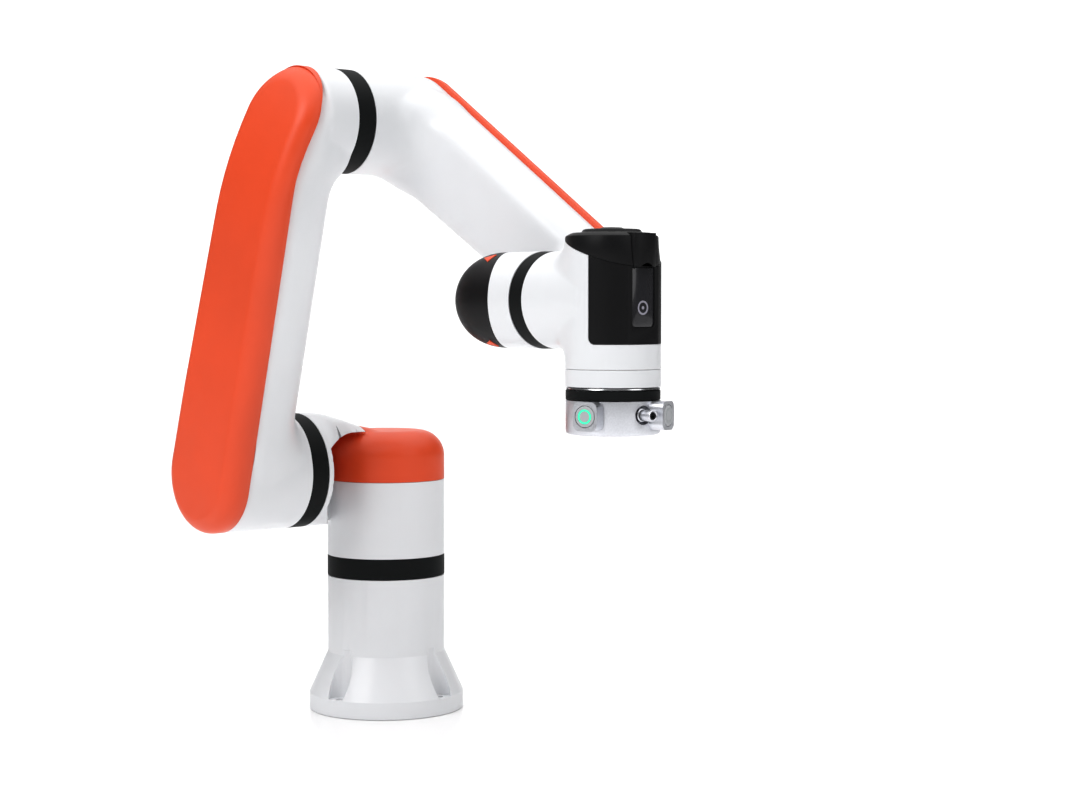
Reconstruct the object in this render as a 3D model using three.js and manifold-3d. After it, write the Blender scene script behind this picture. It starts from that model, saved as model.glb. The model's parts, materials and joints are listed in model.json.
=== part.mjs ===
// Six-axis collaborative robot arm, bolted down by its foot.
// Millimetres, +Z up. The origin is the centre of the foot's underside, +X is the way the
// arm reaches, and the upper arm hangs on the -Y side of the shoulder.
import * as THREE from 'three';
import Module from 'manifold-3d';
import { mergeVertices } from 'three/addons/utils/BufferGeometryUtils.js';

const wasm = await Module();
wasm.setup();

// ---- driving dimensions ----
const DEG = Math.PI / 180;
const GAP = 0.3;
const WALL = 3.2;
const RING_WALL = 4;
const SIDES = 28;
const ROUND_STEPS = 3;
// How far a cutter runs past the face that it opens.
const PAST = 5;

const SHOULDER_Z = 200;
const UPPER_LENGTH = 281.5;
const UPPER_LEAN = 16.55 * DEG;
const FOREARM_LENGTH = 240.3;
const FOREARM_DROP = 34.2 * DEG;
const WRIST_LENGTH = 102.3;

const FOOT = {
  radius: 63.2, sideHeight: 13.7, flareTop: 47.5, floor: 8, tubeRadius: 48,
  boltCircle: 56.5, boltHole: 3.3, pocketRadius: 9.5, firstPocket: 12 * DEG,
};
const INLET = { z: 62, radius: 12, wallHole: 8, bore: 7, proud: 11, root: 6, insert: 4 };

const RING1 = { radius: 48, from: 110.1, to: 126.8 };
const RING2 = { radius: 45.2, from: 88.5, to: 104 };
const RING3 = { radius: 39.3, from: 97.3, to: 112.9 };
const RING4 = { radius: 33.4, from: 56, to: 68 };
const RING5 = { radius: 32.8, from: 35.4, to: 48.2 };
const RING6 = { radius: 31, from: 58.4, to: 64.9 };

const SHOULDER = { capEdge: 188.7, top: 228.5, topRound: 21, capFront: -31 };
const NECK = {
  turn: 35.3 * DEG, flange: 84, drawBack: 20, drawOver: 40, sinkFrom: 80, sinkOver: 78,
  steps: [82, 74, 66, 58, 48, 38, 26, 12, 0],
};
const UPPER = {
  lowRadius: 45, topRadius: 39.3, seam: 161.5, seamDrop: 18.5, seamDropStart: 235,
  face: 181.7, taper: 0.018, taperStart: 60, bow: 0.0018, bowStart: 200,
  faceRound: 13, back: 117.5, backRound: 30, coverWall: 3, tuck: 6,
  boreEnd: 153.5, elbowRodEnd: 140.5, elbowBoreEnd: 141.5,
};
const FORE = {
  elbowRadius: 39.3, wristRadius: 33.4, thickness: 51, elbowMiddle: -33, wristMiddle: -12,
  round: 17, coverDepth: 13, coverRound: 12, coverWall: 3, tuck: 6, rodDepth: 20, boreDepth: 24,
};
const WRIST1 = {
  y: -101, radius: 33, domeEnd: 41, domeStart: 2, domeSteps: 6, domePower: 0.9, lidRadius: 17,
  capCentre: -2, capSkew: 0.47,
};
const CLIP = { size: 4.6, proud: 0.6, sunk: 1.6, tilt: 28 * DEG, behindSeam: 2 };
const WRIST2 = {
  radius: 31.4, top: 45, topRound: 3, capBottom: -28.4, capFront: 9, flat: 28.6,
  collarTop: -45, collarBottom: -56.3, rimBottom: -58.1,
  visorMiddle: 31.9, visorSlope: 0.343, crownRadius: 21, crownTop: 19, crownRoot: 44, crownHeight: 1.6,
  cheekHalf: 12.4, cheekDepth: 4, sides: 40,
};
const HOOD = { halfWidth: 10, bottom: 21.3, top: 43, proud: 31.3, root: 24 };
const INLAY = { halfWidth: 9.6, bottom: -17.5, top: 20.8, depth: 1.6, sunk: 0.4 };
const FLANGE = {
  radius: 31, top: -65.2, bottom: -87.5, edge: 2.6, pilotRadius: 15.75, pilotDepth: 6,
  boltCircle: 25, tapRadius: 2.5, tapDepth: 9,
};
const BOSS = {
  reach: 40, halfWidth: 8.5, halfHeight: 9.5, corner: 4.5, z: -74.4,
  buttonRadius: 6.9, buttonDepth: 4, buttonProud: 0.4, ledOuter: 4.6, ledInner: 3.5, travel: 1.2,
  groove: 1, lightSunk: 0.7, lightProud: 0.1, root: 20, sides: 24,
};
const PORT = {
  angle: -4 * DEG, z: -74, recess: 7, recessDepth: 9, recessEnd: 33, barrel: 3.9,
  bore: 2.4, reach: 41, insertSunk: 5,
};
const BOSS_ANGLES = [-69.8 * DEG, 20.2 * DEG];

// ---- places worked out from the driving dimensions ----
const SHOULDER_POINT = new THREE.Vector3(0, 0, SHOULDER_Z);
const UPPER_ALONG = new THREE.Vector3(Math.sin(UPPER_LEAN), 0, Math.cos(UPPER_LEAN));
const ELBOW_POINT = SHOULDER_POINT.clone().addScaledVector(UPPER_ALONG, UPPER_LENGTH);
const FORE_ALONG = new THREE.Vector3(Math.cos(FOREARM_DROP), 0, -Math.sin(FOREARM_DROP));
const WRIST_POINT = ELBOW_POINT.clone().addScaledVector(FORE_ALONG, FOREARM_LENGTH);
const WRIST_X = WRIST_POINT.x;
const WRIST_Z = WRIST_POINT.z;
const TOOL_X = WRIST_X + WRIST_LENGTH;
const WRIST_PLACE = new THREE.Vector3(WRIST_X, WRIST1.y, WRIST_Z);
const TOOL_PLACE = new THREE.Vector3(TOOL_X, WRIST1.y, WRIST_Z);

// ---- materials ----
const paint = (color, roughness, metalness) =>
  new THREE.MeshStandardMaterial({ color, roughness, metalness });
const LOOK = {
  white: paint(0xe9ebee, 0.42, 0),
  orange: paint(0xe8502e, 0.48, 0),
  black: paint(0x17181a, 0.5, 0),
  gloss: paint(0x2b2c2f, 0.16, 0),
  aluminium: paint(0xc9cbd0, 0.32, 0.9),
  steel: paint(0x8d9196, 0.35, 1),
  copper: paint(0xb06a3a, 0.45, 0.8),
  board: paint(0x1f6a43, 0.6, 0),
  led: paint(0x3fe0ab, 0.35, 0),
  button: paint(0xb9bbc0, 0.4, 0.3),
};

// ---- solids ----
function toSolid(geometry) {
  const bare = geometry.clone();
  for (const name of Object.keys(bare.attributes)) {
    if (name !== 'position') bare.deleteAttribute(name);
  }
  const merged = mergeVertices(bare, 1e-4);
  const index = merged.index.array;
  const triVerts = [];
  for (let i = 0; i < index.length; i += 3) {
    const [a, b, c] = [index[i], index[i + 1], index[i + 2]];
    if (a !== b && b !== c && a !== c) triVerts.push(a, b, c);
  }
  return new wasm.Manifold(new wasm.Mesh({
    numProp: 3,
    vertProperties: new Float32Array(merged.attributes.position.array),
    triVerts: new Uint32Array(triVerts),
  }));
}

function toGeometry(solid) {
  const data = solid.getMesh();
  const geometry = new THREE.BufferGeometry();
  geometry.setAttribute('position', new THREE.Float32BufferAttribute(data.vertProperties, 3));
  geometry.setIndex(Array.from(data.triVerts));
  geometry.computeVertexNormals();
  return geometry;
}

// Turns +Z onto a direction; used to lay a turned piece along its joint's axis.
function along(direction) {
  const turn = new THREE.Quaternion().setFromUnitVectors(new THREE.Vector3(0, 0, 1), direction);
  return new THREE.Matrix4().makeRotationFromQuaternion(turn);
}

// A turned piece about +Z from [radius, z] corners, laid at a place along a direction.
function turned(corners, place = new THREE.Vector3(), direction = new THREE.Vector3(0, 0, 1), sides = SIDES) {
  const points = corners.map(([radius, z]) => new THREE.Vector2(radius, z));
  const geometry = new THREE.LatheGeometry(points, sides);
  geometry.rotateX(Math.PI / 2);
  geometry.applyMatrix4(along(direction));
  geometry.translate(place.x, place.y, place.z);
  return toSolid(geometry);
}

const rod = (radius, low, high, place, direction, sides) =>
  turned([[0, low], [radius, low], [radius, high], [0, high]], place, direction, sides);

const tube = (inner, outer, low, high, place, direction, sides) =>
  turned([[inner, low], [outer, low], [outer, high], [inner, high], [inner, low]], place, direction, sides);

// A box between two corners, turned about the upright axis through the origin.
function block(low, high, turn = 0) {
  const size = high.clone().sub(low);
  const geometry = new THREE.BoxGeometry(size.x, size.y, size.z);
  geometry.translate((low.x + high.x) / 2, (low.y + high.y) / 2, (low.z + high.z) / 2);
  geometry.rotateZ(turn);
  return toSolid(geometry);
}

const V = (x, y, z) => new THREE.Vector3(x, y, z);
const UP = V(0, 0, 1);
const DOWN = V(0, 0, -1);
const TO_LEFT = V(0, -1, 0);
const TO_RIGHT = V(0, 1, 0);
const FORWARD = V(1, 0, 0);
const BACKWARD = V(-1, 0, 0);
const FAR = 600;

// A closed skin through equal-length rings. Each end is closed by rungs that run straight
// across from one side of the ring to the other, so a bent face keeps its bend.
function skin(rings) {
  const count = rings[0].length;
  const positions = rings.flat().flatMap((p) => [p.x, p.y, p.z]);
  const index = [];
  for (let r = 0; r + 1 < rings.length; r += 1) {
    for (let i = 0; i < count; i += 1) {
      const next = (i + 1) % count;
      const [a, b] = [r * count + i, r * count + next];
      index.push(a, b, b + count, a, b + count, a + count);
    }
  }
  const last = (rings.length - 1) * count;
  for (let i = 0; i < count / 2 - 1; i += 1) {
    const [a, b, c, d] = [i, i + 1, count - 2 - i, count - 1 - i];
    index.push(a, c, b, a, d, c);
    index.push(last + a, last + b, last + c, last + a, last + c, last + d);
  }
  if (signedVolume(positions, index) < 0) index.reverse();
  const geometry = new THREE.BufferGeometry();
  geometry.setAttribute('position', new THREE.Float32BufferAttribute(positions, 3));
  geometry.setIndex(index);
  return toSolid(geometry);
}

// Below zero when the faces of a closed skin point inwards.
function signedVolume(positions, index) {
  const corner = (i) => new THREE.Vector3().fromArray(positions, index[i] * 3);
  let sum = 0;
  for (let i = 0; i < index.length; i += 3) {
    sum += corner(i).dot(corner(i + 1).cross(corner(i + 2)));
  }
  return sum / 6;
}

// ---- outline of a link: two round ends joined by straight sides ----
const ARC_STEPS = 7;
const SIDE_STEPS = 4;

// Returns {along, across} pairs for a link of the given length, shrunk by an inset.
// They start beside the far end's tip and mirror about the middle line.
function linkOutline(length, startRadius, endRadius, inset) {
  const half = [];
  for (let i = 0; i < ARC_STEPS; i += 1) {
    const turn = ((i + 0.5) / ARC_STEPS) * 90 * DEG;
    half.push([length + Math.cos(turn) * (endRadius - inset), Math.sin(turn) * (endRadius - inset)]);
  }
  for (let i = 0; i <= SIDE_STEPS; i += 1) {
    const part = i / SIDE_STEPS;
    const radius = endRadius + (startRadius - endRadius) * part - inset;
    half.push([length * (1 - part), radius]);
  }
  for (let i = 0; i < ARC_STEPS; i += 1) {
    const turn = ((i + 0.5) / ARC_STEPS) * 90 * DEG;
    half.push([-Math.sin(turn) * (startRadius - inset), Math.cos(turn) * (startRadius - inset)]);
  }
  const mirrored = half.map(([s, w]) => [s, -w]).reverse();
  return [...half, ...mirrored];
}

// A ring of points for a link that starts at a place and runs along a direction in the XZ plane.
function linkRing(place, direction, outline, depthAt) {
  const across = V(direction.z, 0, -direction.x);
  return outline.map(([s, w]) => place.clone()
    .addScaledVector(direction, s)
    .addScaledVector(across, w)
    .setY(depthAt(s)));
}

const smooth = (x) => {
  const t = Math.min(1, Math.max(0, x));
  return t * t * (3 - 2 * t);
};

const roundSteps = (radius, steps) => Array.from({ length: steps + 1 }, (_, i) => {
  const turn = (i / steps) * 90 * DEG;
  return { inset: radius * (1 - Math.cos(turn)), rise: radius * Math.sin(turn) };
});

// ---- upper arm: depths are distances out along -Y ----
const upperSeam = (s) => UPPER.seam - UPPER.seamDrop *
  smooth((s - UPPER.seamDropStart) / (UPPER_LENGTH + UPPER.topRadius - UPPER.seamDropStart));
const upperFace = (s) => UPPER.face
  - UPPER.taper * Math.max(0, s - UPPER.taperStart)
  - UPPER.bow * Math.max(0, s - UPPER.bowStart) ** 2;

function upperRing(inset, depthAt) {
  const outline = linkOutline(UPPER_LENGTH, UPPER.lowRadius, UPPER.topRadius, inset);
  return linkRing(SHOULDER_POINT, UPPER_ALONG, outline, (s) => -depthAt(s));
}

// The outer form of the cover, shrunk all over by an offset.
function upperCoverForm(offset) {
  const rings = [upperRing(offset, (s) => upperSeam(s) + GAP / 2 - offset)];
  for (const { inset, rise } of roundSteps(UPPER.faceRound, ROUND_STEPS)) {
    rings.push(upperRing(offset + inset, (s) => upperFace(s) - UPPER.faceRound + rise - offset));
  }
  return skin(rings);
}

function upperArmCover() {
  const hollow = skin([
    upperRing(UPPER.coverWall, (s) => upperSeam(s) - PAST),
    upperRing(UPPER.coverWall, (s) => upperFace(s) - UPPER.faceRound),
    upperRing(UPPER.coverWall + UPPER.tuck, (s) => upperFace(s) - UPPER.coverWall),
  ]);
  return upperCoverForm(0).subtract(hollow);
}

function upperArmBody(offset) {
  const rings = [];
  const back = UPPER.back + offset;
  for (const { inset, rise } of roundSteps(UPPER.backRound, ROUND_STEPS).reverse()) {
    rings.push(upperRing(offset + inset, () => back + UPPER.backRound - rise));
  }
  rings.push(upperRing(offset, (s) => upperSeam(s) - GAP / 2 + offset * 2));
  return skin(rings);
}

function upperArm() {
  const outer = upperArmBody(0)
    .add(rod(RING2.radius, RING2.to + GAP, UPPER.back + UPPER.backRound, SHOULDER_POINT, TO_LEFT))
    .add(rod(RING3.radius, RING3.to + GAP, UPPER.elbowRodEnd, ELBOW_POINT, TO_LEFT));
  return outer
    .subtract(upperArmBody(WALL))
    .subtract(rod(RING2.radius - WALL, RING2.to - PAST, UPPER.boreEnd, SHOULDER_POINT, TO_LEFT))
    .subtract(rod(RING3.radius - WALL, RING3.to - PAST, UPPER.elbowBoreEnd, ELBOW_POINT, TO_LEFT));
}

// ---- forearm: depths are places along +Y ----
const foreMiddle = (s) => FORE.elbowMiddle + (FORE.wristMiddle - FORE.elbowMiddle) * (s / FOREARM_LENGTH);
const foreNear = (s) => foreMiddle(s) - FORE.thickness / 2;
const foreFar = (s) => foreMiddle(s) + FORE.thickness / 2;

function foreRing(inset, depthAt) {
  const outline = linkOutline(FOREARM_LENGTH, FORE.elbowRadius, FORE.wristRadius, inset);
  return linkRing(ELBOW_POINT, FORE_ALONG, outline, depthAt).reverse();
}

function forearmBody(offset) {
  const rings = [];
  for (const { inset, rise } of roundSteps(FORE.round, ROUND_STEPS).reverse()) {
    rings.push(foreRing(offset + inset, (s) => foreNear(s) + FORE.round - rise + offset));
  }
  rings.push(foreRing(offset, (s) => foreFar(s) - FORE.coverDepth - GAP / 2 + offset * 2));
  return skin(rings);
}

function forearm() {
  const elbowFloor = foreFar(0) - FORE.boreDepth;
  const wristFloor = foreFar(FOREARM_LENGTH) - FORE.boreDepth;
  const [elbowEnd, wristEnd] = [GAP - RING3.from, GAP - RING4.from];
  return forearmBody(0)
    .add(rod(RING3.radius, elbowEnd, foreFar(0) - FORE.rodDepth, ELBOW_POINT, TO_RIGHT))
    .add(rod(RING4.radius, wristEnd, foreFar(FOREARM_LENGTH) - FORE.rodDepth, WRIST_POINT, TO_RIGHT))
    .subtract(forearmBody(WALL))
    .subtract(rod(RING3.radius - WALL, elbowEnd - PAST, elbowFloor, ELBOW_POINT, TO_RIGHT))
    .subtract(rod(RING4.radius - WALL, wristEnd - PAST, wristFloor, WRIST_POINT, TO_RIGHT));
}

function forearmCover() {
  const rings = [foreRing(0, (s) => foreFar(s) - FORE.coverDepth + GAP / 2)];
  for (const { inset, rise } of roundSteps(FORE.coverRound, ROUND_STEPS)) {
    rings.push(foreRing(inset, (s) => foreFar(s) - FORE.coverRound + rise));
  }
  const hollow = skin([
    foreRing(FORE.coverWall, (s) => foreFar(s) - FORE.coverDepth - PAST),
    foreRing(FORE.coverWall, (s) => foreFar(s) - FORE.coverRound),
    foreRing(FORE.coverWall + FORE.tuck, (s) => foreFar(s) - FORE.coverWall),
  ]);
  return skin(rings).subtract(hollow);
}

// ---- base ----
function baseFoot() {
  const outside = turned([
    [0, 0], [FOOT.radius, 0], [FOOT.radius, FOOT.sideHeight], [FOOT.tubeRadius, FOOT.flareTop],
    [FOOT.tubeRadius, RING1.from - GAP], [0, RING1.from - GAP],
  ]);
  const bore = FOOT.tubeRadius - WALL;
  let solid = outside.subtract(rod(bore, FOOT.floor, RING1.to, V(0, 0, 0), UP));
  for (let k = 0; k < 4; k += 1) {
    const turn = FOOT.firstPocket + k * 90 * DEG;
    const place = V(Math.cos(turn) * FOOT.boltCircle, Math.sin(turn) * FOOT.boltCircle, 0);
    solid = solid
      .subtract(rod(FOOT.pocketRadius, FOOT.sideHeight, FOOT.flareTop + PAST, place, UP, 20))
      .subtract(rod(FOOT.boltHole, -PAST, FOOT.sideHeight + PAST, place, UP, 12));
  }
  return solid.subtract(rod(INLET.wallHole, bore - PAST, FAR, V(0, 0, INLET.z), BACKWARD, 20));
}

function inletSocket() {
  const end = FOOT.tubeRadius + INLET.proud;
  const place = V(0, 0, INLET.z);
  return tube(INLET.bore, INLET.radius, FOOT.tubeRadius - INLET.root, end, place, BACKWARD, 20)
    .subtract(rod(FOOT.tubeRadius + GAP, 0, RING1.from, V(0, 0, 0), UP));
}

function inletInsert() {
  const end = FOOT.tubeRadius + INLET.insert;
  const place = V(0, 0, INLET.z);
  return rod(INLET.bore - GAP, FOOT.tubeRadius - INLET.insert, end, place, BACKWARD, 16);
}

// ---- shoulder ----
function shoulderColumn(offset) {
  const radius = FOOT.tubeRadius - offset;
  const top = SHOULDER.top - offset;
  const corners = [[0, RING1.to + GAP - offset * 3]];
  corners.push([radius, RING1.to + GAP - offset * 3]);
  for (const { inset, rise } of roundSteps(SHOULDER.topRound, ROUND_STEPS)) {
    corners.push([radius - inset, top - SHOULDER.topRound + rise]);
  }
  corners.push([0, top]);
  return turned(corners);
}

// As the branch runs in, its top sinks to the column's top and its front draws back.
function shoulderBranch(offset) {
  const radius = RING2.radius - offset;
  const fall = RING2.radius - (SHOULDER.top - SHOULDER_Z);
  const depths = [RING2.from - GAP + offset * 3, ...NECK.steps];
  const rings = depths.map((depth) => {
    const height = radius - fall * smooth((NECK.sinkFrom - depth) / NECK.sinkOver);
    const front = radius - NECK.drawBack * smooth((NECK.flange - depth) / NECK.drawOver);
    const ring = [];
    for (let i = 0; i < SIDES; i += 1) {
      const turn = ((i + 0.5) / SIDES) * 360 * DEG;
      const side = Math.sin(turn) > 0 ? front : radius;
      const rise = Math.cos(turn) > 0 ? height : radius;
      ring.push(V(Math.sin(turn) * side, -depth, SHOULDER_Z + Math.cos(turn) * rise));
    }
    return ring;
  });
  return skin(rings);
}

// The open space in front of the branch: the column's own outline, drawn out along a tangent,
// as far as the flange that carries the joint.
function neckScoop(offset) {
  const heading = V(Math.cos(NECK.turn), -Math.sin(NECK.turn), 0);
  const aside = V(Math.sin(NECK.turn), Math.cos(NECK.turn), 0);
  const inner = FOOT.tubeRadius - SHOULDER.topRound;
  const spring = SHOULDER.top - SHOULDER.topRound;
  const start = -2 * offset;
  const corner = V(0, 0, spring).addScaledVector(aside, -inner);
  return rod(SHOULDER.topRound + offset, start, FAR, corner, heading)
    .add(block(V(start, -FOOT.tubeRadius - offset, 0), V(FAR, FAR, spring), -NECK.turn))
    .add(block(V(start, -inner, 0), V(FAR, FAR, SHOULDER.top + offset), -NECK.turn))
    .intersect(block(V(-FAR, -NECK.flange - offset, 0), V(FAR, FAR, FAR)));
}

const shoulderForm = (offset) =>
  shoulderColumn(offset).add(shoulderBranch(offset).subtract(neckScoop(offset)));

const capRegion = (slack) =>
  block(V(-FAR, SHOULDER.capFront - slack, 0), V(FAR, FAR, FAR))
    .add(neckScoop(slack))
    .intersect(block(V(-FAR, -FAR, SHOULDER.capEdge - slack), V(FAR, FAR, FAR)));

const shoulderHousing = () => shoulderForm(0).subtract(shoulderForm(WALL)).subtract(capRegion(GAP / 2));

const shoulderCap = () => shoulderForm(0).subtract(shoulderForm(WALL)).intersect(capRegion(-GAP / 2));

// ---- wrist 1: an elbow from the forearm's side to the wrist's forward axis ----
function wrist1Tube(offset) {
  const radius = WRIST1.radius - offset;
  const end = WRIST1.domeEnd - offset;
  const front = RING5.from - GAP + offset * 3;
  const corners = [[0, -end], [WRIST1.lidRadius - offset, -end]];
  for (let i = 1; i <= WRIST1.domeSteps; i += 1) {
    const turn = (i / WRIST1.domeSteps) * 90 * DEG;
    const out = WRIST1.lidRadius + (WRIST1.radius - WRIST1.lidRadius) * Math.sin(turn);
    const back = (end - WRIST1.domeStart) * Math.cos(turn) ** WRIST1.domePower;
    corners.push([out - offset, -WRIST1.domeStart - back]);
  }
  corners.push([radius, front], [0, front]);
  return turned(corners, WRIST_PLACE, FORWARD);
}

const wrist1Side = (offset) => rod(
  RING4.radius - offset, RING4.to + GAP - offset * 3, -WRIST1.y, WRIST_POINT, TO_LEFT);

const wrist1Form = (offset) => wrist1Tube(offset).add(wrist1Side(offset));

// Everything behind a plane that leans back across the elbow's outer corner.
function wrist1CapRegion(slack) {
  const lean = Math.atan(WRIST1.capSkew);
  const geometry = new THREE.BoxGeometry(FAR, FAR, FAR);
  geometry.translate(-FAR / 2 + slack, 0, 0);
  geometry.rotateZ(lean);
  geometry.translate(WRIST_X + WRIST1.capCentre, WRIST1.y, WRIST_Z);
  const branchRadius = RING4.radius + (slack > 0 ? 0 : GAP);
  return toSolid(geometry)
    .subtract(rod(branchRadius, RING4.to - PAST, -WRIST1.y, WRIST_POINT, TO_LEFT));
}

const wrist1Housing = () => wrist1Form(0).subtract(wrist1Form(WALL)).subtract(wrist1CapRegion(GAP / 2));

const wrist1Cap = () => wrist1Form(0)
  .subtract(wrist1Form(WALL))
  .intersect(wrist1CapRegion(-GAP / 2))
  .subtract(wrist1Clip(1, GAP))
  .subtract(wrist1Clip(-1, GAP));

// A small three-sided clip let into the cap beside its seam, above (+1) or below (-1).
function wrist1Clip(side, slack) {
  const reach = WRIST1.radius + CLIP.proud + slack;
  const depth = WRIST1.radius - CLIP.sunk - slack;
  const size = CLIP.size + slack;
  const wedge = new THREE.CylinderGeometry(size, size, reach - depth, 3);
  wedge.rotateX(90 * DEG);
  wedge.translate(0, 0, (reach + depth) / 2);
  wedge.rotateX(side > 0 ? CLIP.tilt : Math.PI - CLIP.tilt);
  wedge.translate(WRIST_X + WRIST1.capCentre - CLIP.behindSeam, WRIST1.y, WRIST_Z);
  return toSolid(wedge);
}

// ---- wrist 2: a tee from the forward axis down to the tool axis ----
function wrist2Barrel(offset) {
  const radius = WRIST2.radius - offset;
  const top = WRIST2.top - offset;
  const low = WRIST2.collarTop + GAP - offset * 3;
  const corners = [
    [0, low], [radius, low], [radius, top - WRIST2.topRound], [radius - WRIST2.topRound, top], [0, top],
  ];
  return turned(corners, TOOL_PLACE, UP, WRIST2.sides);
}

function wrist2Neck(offset) {
  const start = RING5.to + GAP - offset * 3;
  return rod(RING5.radius - offset, start, WRIST_LENGTH - offset, WRIST_PLACE, FORWARD);
}

const wrist2Form = (offset) => wrist2Barrel(offset).add(wrist2Neck(offset));

const flatCut = (slack) => block(
  V(TOOL_X + WRIST2.flat + slack, WRIST1.y - FAR, WRIST_Z - FAR),
  V(TOOL_X + FAR, WRIST1.y + FAR, WRIST_Z + FAR));

// Everything above a plane that falls away forwards: the peaked lid's share.
function visorRegion(slack) {
  const geometry = new THREE.BoxGeometry(FAR, FAR, FAR);
  geometry.translate(0, 0, FAR / 2 - slack);
  geometry.rotateY(Math.atan(WRIST2.visorSlope));
  geometry.translate(TOOL_X, WRIST1.y, WRIST_Z + WRIST2.visorMiddle);
  return toSolid(geometry);
}

const wrist2CapRegion = (slack) => block(
  V(TOOL_X + WRIST2.capFront - slack, WRIST1.y - FAR, WRIST_Z + WRIST2.capBottom - slack),
  V(TOOL_X + FAR, WRIST1.y + FAR, WRIST_Z + FAR));

const wrist2Housing = () => wrist2Form(0)
  .subtract(wrist2Form(WALL))
  .subtract(wrist2CapRegion(GAP / 2))
  .subtract(visorRegion(GAP / 2));

const wrist2Cap = () => wrist2Form(0)
  .subtract(wrist2Form(WALL))
  .intersect(wrist2CapRegion(-GAP / 2))
  .subtract(visorRegion(GAP / 2))
  .subtract(flatCut(0))
  .add(cheek())
  .subtract(hoodForm(GAP))
  .subtract(inlayForm(GAP));

// Thickens the cap behind its flat, so that the panel has something to sit in.
const cheek = () => block(
  V(TOOL_X + WRIST2.flat - WRIST2.cheekDepth, WRIST1.y - WRIST2.cheekHalf, WRIST_Z + WRIST2.capBottom + GAP),
  V(TOOL_X + WRIST2.flat, WRIST1.y + WRIST2.cheekHalf, WRIST_Z + INLAY.top));

function wrist2Visor() {
  const lid = wrist2Form(0).subtract(wrist2Form(WALL)).intersect(visorRegion(-GAP / 2));
  const { top, crownRoot, crownRadius, crownTop, crownHeight } = WRIST2;
  const crown = turned([
    [0, crownRoot], [crownRadius, crownRoot], [crownTop, top + crownHeight], [0, top + crownHeight],
  ], TOOL_PLACE);
  return lid.add(crown).subtract(hoodForm(GAP));
}

// The block that stands over the panel.
function hoodForm(slack) {
  const half = HOOD.halfWidth + slack;
  return block(
    V(TOOL_X + HOOD.root - slack, WRIST1.y - half, WRIST_Z + HOOD.bottom - slack),
    V(TOOL_X + HOOD.proud + slack, WRIST1.y + half, WRIST_Z + HOOD.top + slack));
}

function inlayForm(slack) {
  const halfWidth = INLAY.halfWidth + slack;
  const low = INLAY.bottom + INLAY.halfWidth;
  const outline = new THREE.Shape();
  outline.moveTo(-halfWidth, INLAY.top + slack);
  outline.lineTo(-halfWidth, low);
  outline.absarc(0, low, halfWidth, Math.PI, 2 * Math.PI, false);
  outline.lineTo(halfWidth, INLAY.top + slack);
  outline.closePath();
  const depth = INLAY.depth + slack + PAST;
  const geometry = new THREE.ExtrudeGeometry(outline, { depth, bevelEnabled: false, curveSegments: 8 });
  geometry.rotateX(90 * DEG);
  geometry.rotateZ(90 * DEG);
  geometry.translate(TOOL_X + WRIST2.flat - INLAY.depth - slack, WRIST1.y, WRIST_Z);
  return toSolid(geometry);
}

const inlay = () => inlayForm(0).subtract(flatCut(-INLAY.sunk));

// ---- tool flange ----
const BOSS_PLACE = V(TOOL_X, WRIST1.y, WRIST_Z + BOSS.z);
const PORT_PLACE = V(TOOL_X, WRIST1.y, WRIST_Z + PORT.z);

function bossForm(angle) {
  const outline = new THREE.Shape();
  const [w, h, r] = [BOSS.halfWidth, BOSS.halfHeight, BOSS.corner];
  outline.absarc(w - r, h - r, r, 0, 90 * DEG);
  outline.absarc(-w + r, h - r, r, 90 * DEG, 180 * DEG);
  outline.absarc(-w + r, -h + r, r, 180 * DEG, 270 * DEG);
  outline.absarc(w - r, -h + r, r, 270 * DEG, 360 * DEG);
  const depth = BOSS.reach - BOSS.root;
  const geometry = new THREE.ExtrudeGeometry(outline, { depth, bevelEnabled: false, curveSegments: 3 });
  geometry.translate(0, 0, BOSS.root);
  geometry.rotateX(90 * DEG);
  geometry.rotateZ(90 * DEG + angle);
  geometry.translate(BOSS_PLACE.x, BOSS_PLACE.y, BOSS_PLACE.z);
  return toSolid(geometry);
}

const outward = (angle) => V(Math.cos(angle), Math.sin(angle), 0);

function toolFlange() {
  const { radius, top, bottom, edge } = FLANGE;
  const portWay = outward(PORT.angle);
  let solid = turned([
    [0, bottom], [radius - edge, bottom], [radius, bottom + edge], [radius, top], [0, top],
  ], TOOL_PLACE, UP, WRIST2.sides);
  for (const angle of BOSS_ANGLES) {
    const [low, high] = [BOSS.reach - BOSS.buttonDepth, BOSS.reach + PAST];
    solid = solid
      .add(bossForm(angle))
      .subtract(rod(BOSS.buttonRadius, low, high, BOSS_PLACE, outward(angle), BOSS.sides));
  }
  solid = solid
    .subtract(rod(PORT.recess, radius - PORT.recessDepth, PORT.recessEnd, PORT_PLACE, portWay, 16))
    .subtract(rod(FLANGE.pilotRadius, bottom - PAST, bottom + FLANGE.pilotDepth, TOOL_PLACE, UP));
  for (let k = 0; k < 4; k += 1) {
    const turn = (45 + 90 * k) * DEG;
    const place = TOOL_PLACE.clone().addScaledVector(outward(turn), FLANGE.boltCircle);
    solid = solid.subtract(rod(FLANGE.tapRadius, bottom - PAST, bottom + FLANGE.tapDepth, place, UP, 10));
  }
  return solid;
}

function flangeButton(angle) {
  const [inner, outer] = [BOSS.ledInner - GAP, BOSS.ledOuter + GAP];
  const [base, top] = [BOSS.reach - BOSS.buttonDepth + BOSS.travel, BOSS.reach + BOSS.buttonProud];
  const groove = tube(inner, outer, top - BOSS.groove, top + PAST, BOSS_PLACE, outward(angle), 20);
  return rod(BOSS.buttonRadius - GAP, base, top, BOSS_PLACE, outward(angle), BOSS.sides).subtract(groove);
}

function buttonLight(angle) {
  const top = BOSS.reach + BOSS.buttonProud;
  const [low, high] = [top - BOSS.lightSunk, top + BOSS.lightProud];
  return tube(BOSS.ledInner, BOSS.ledOuter, low, high, BOSS_PLACE, outward(angle), 20);
}

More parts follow.
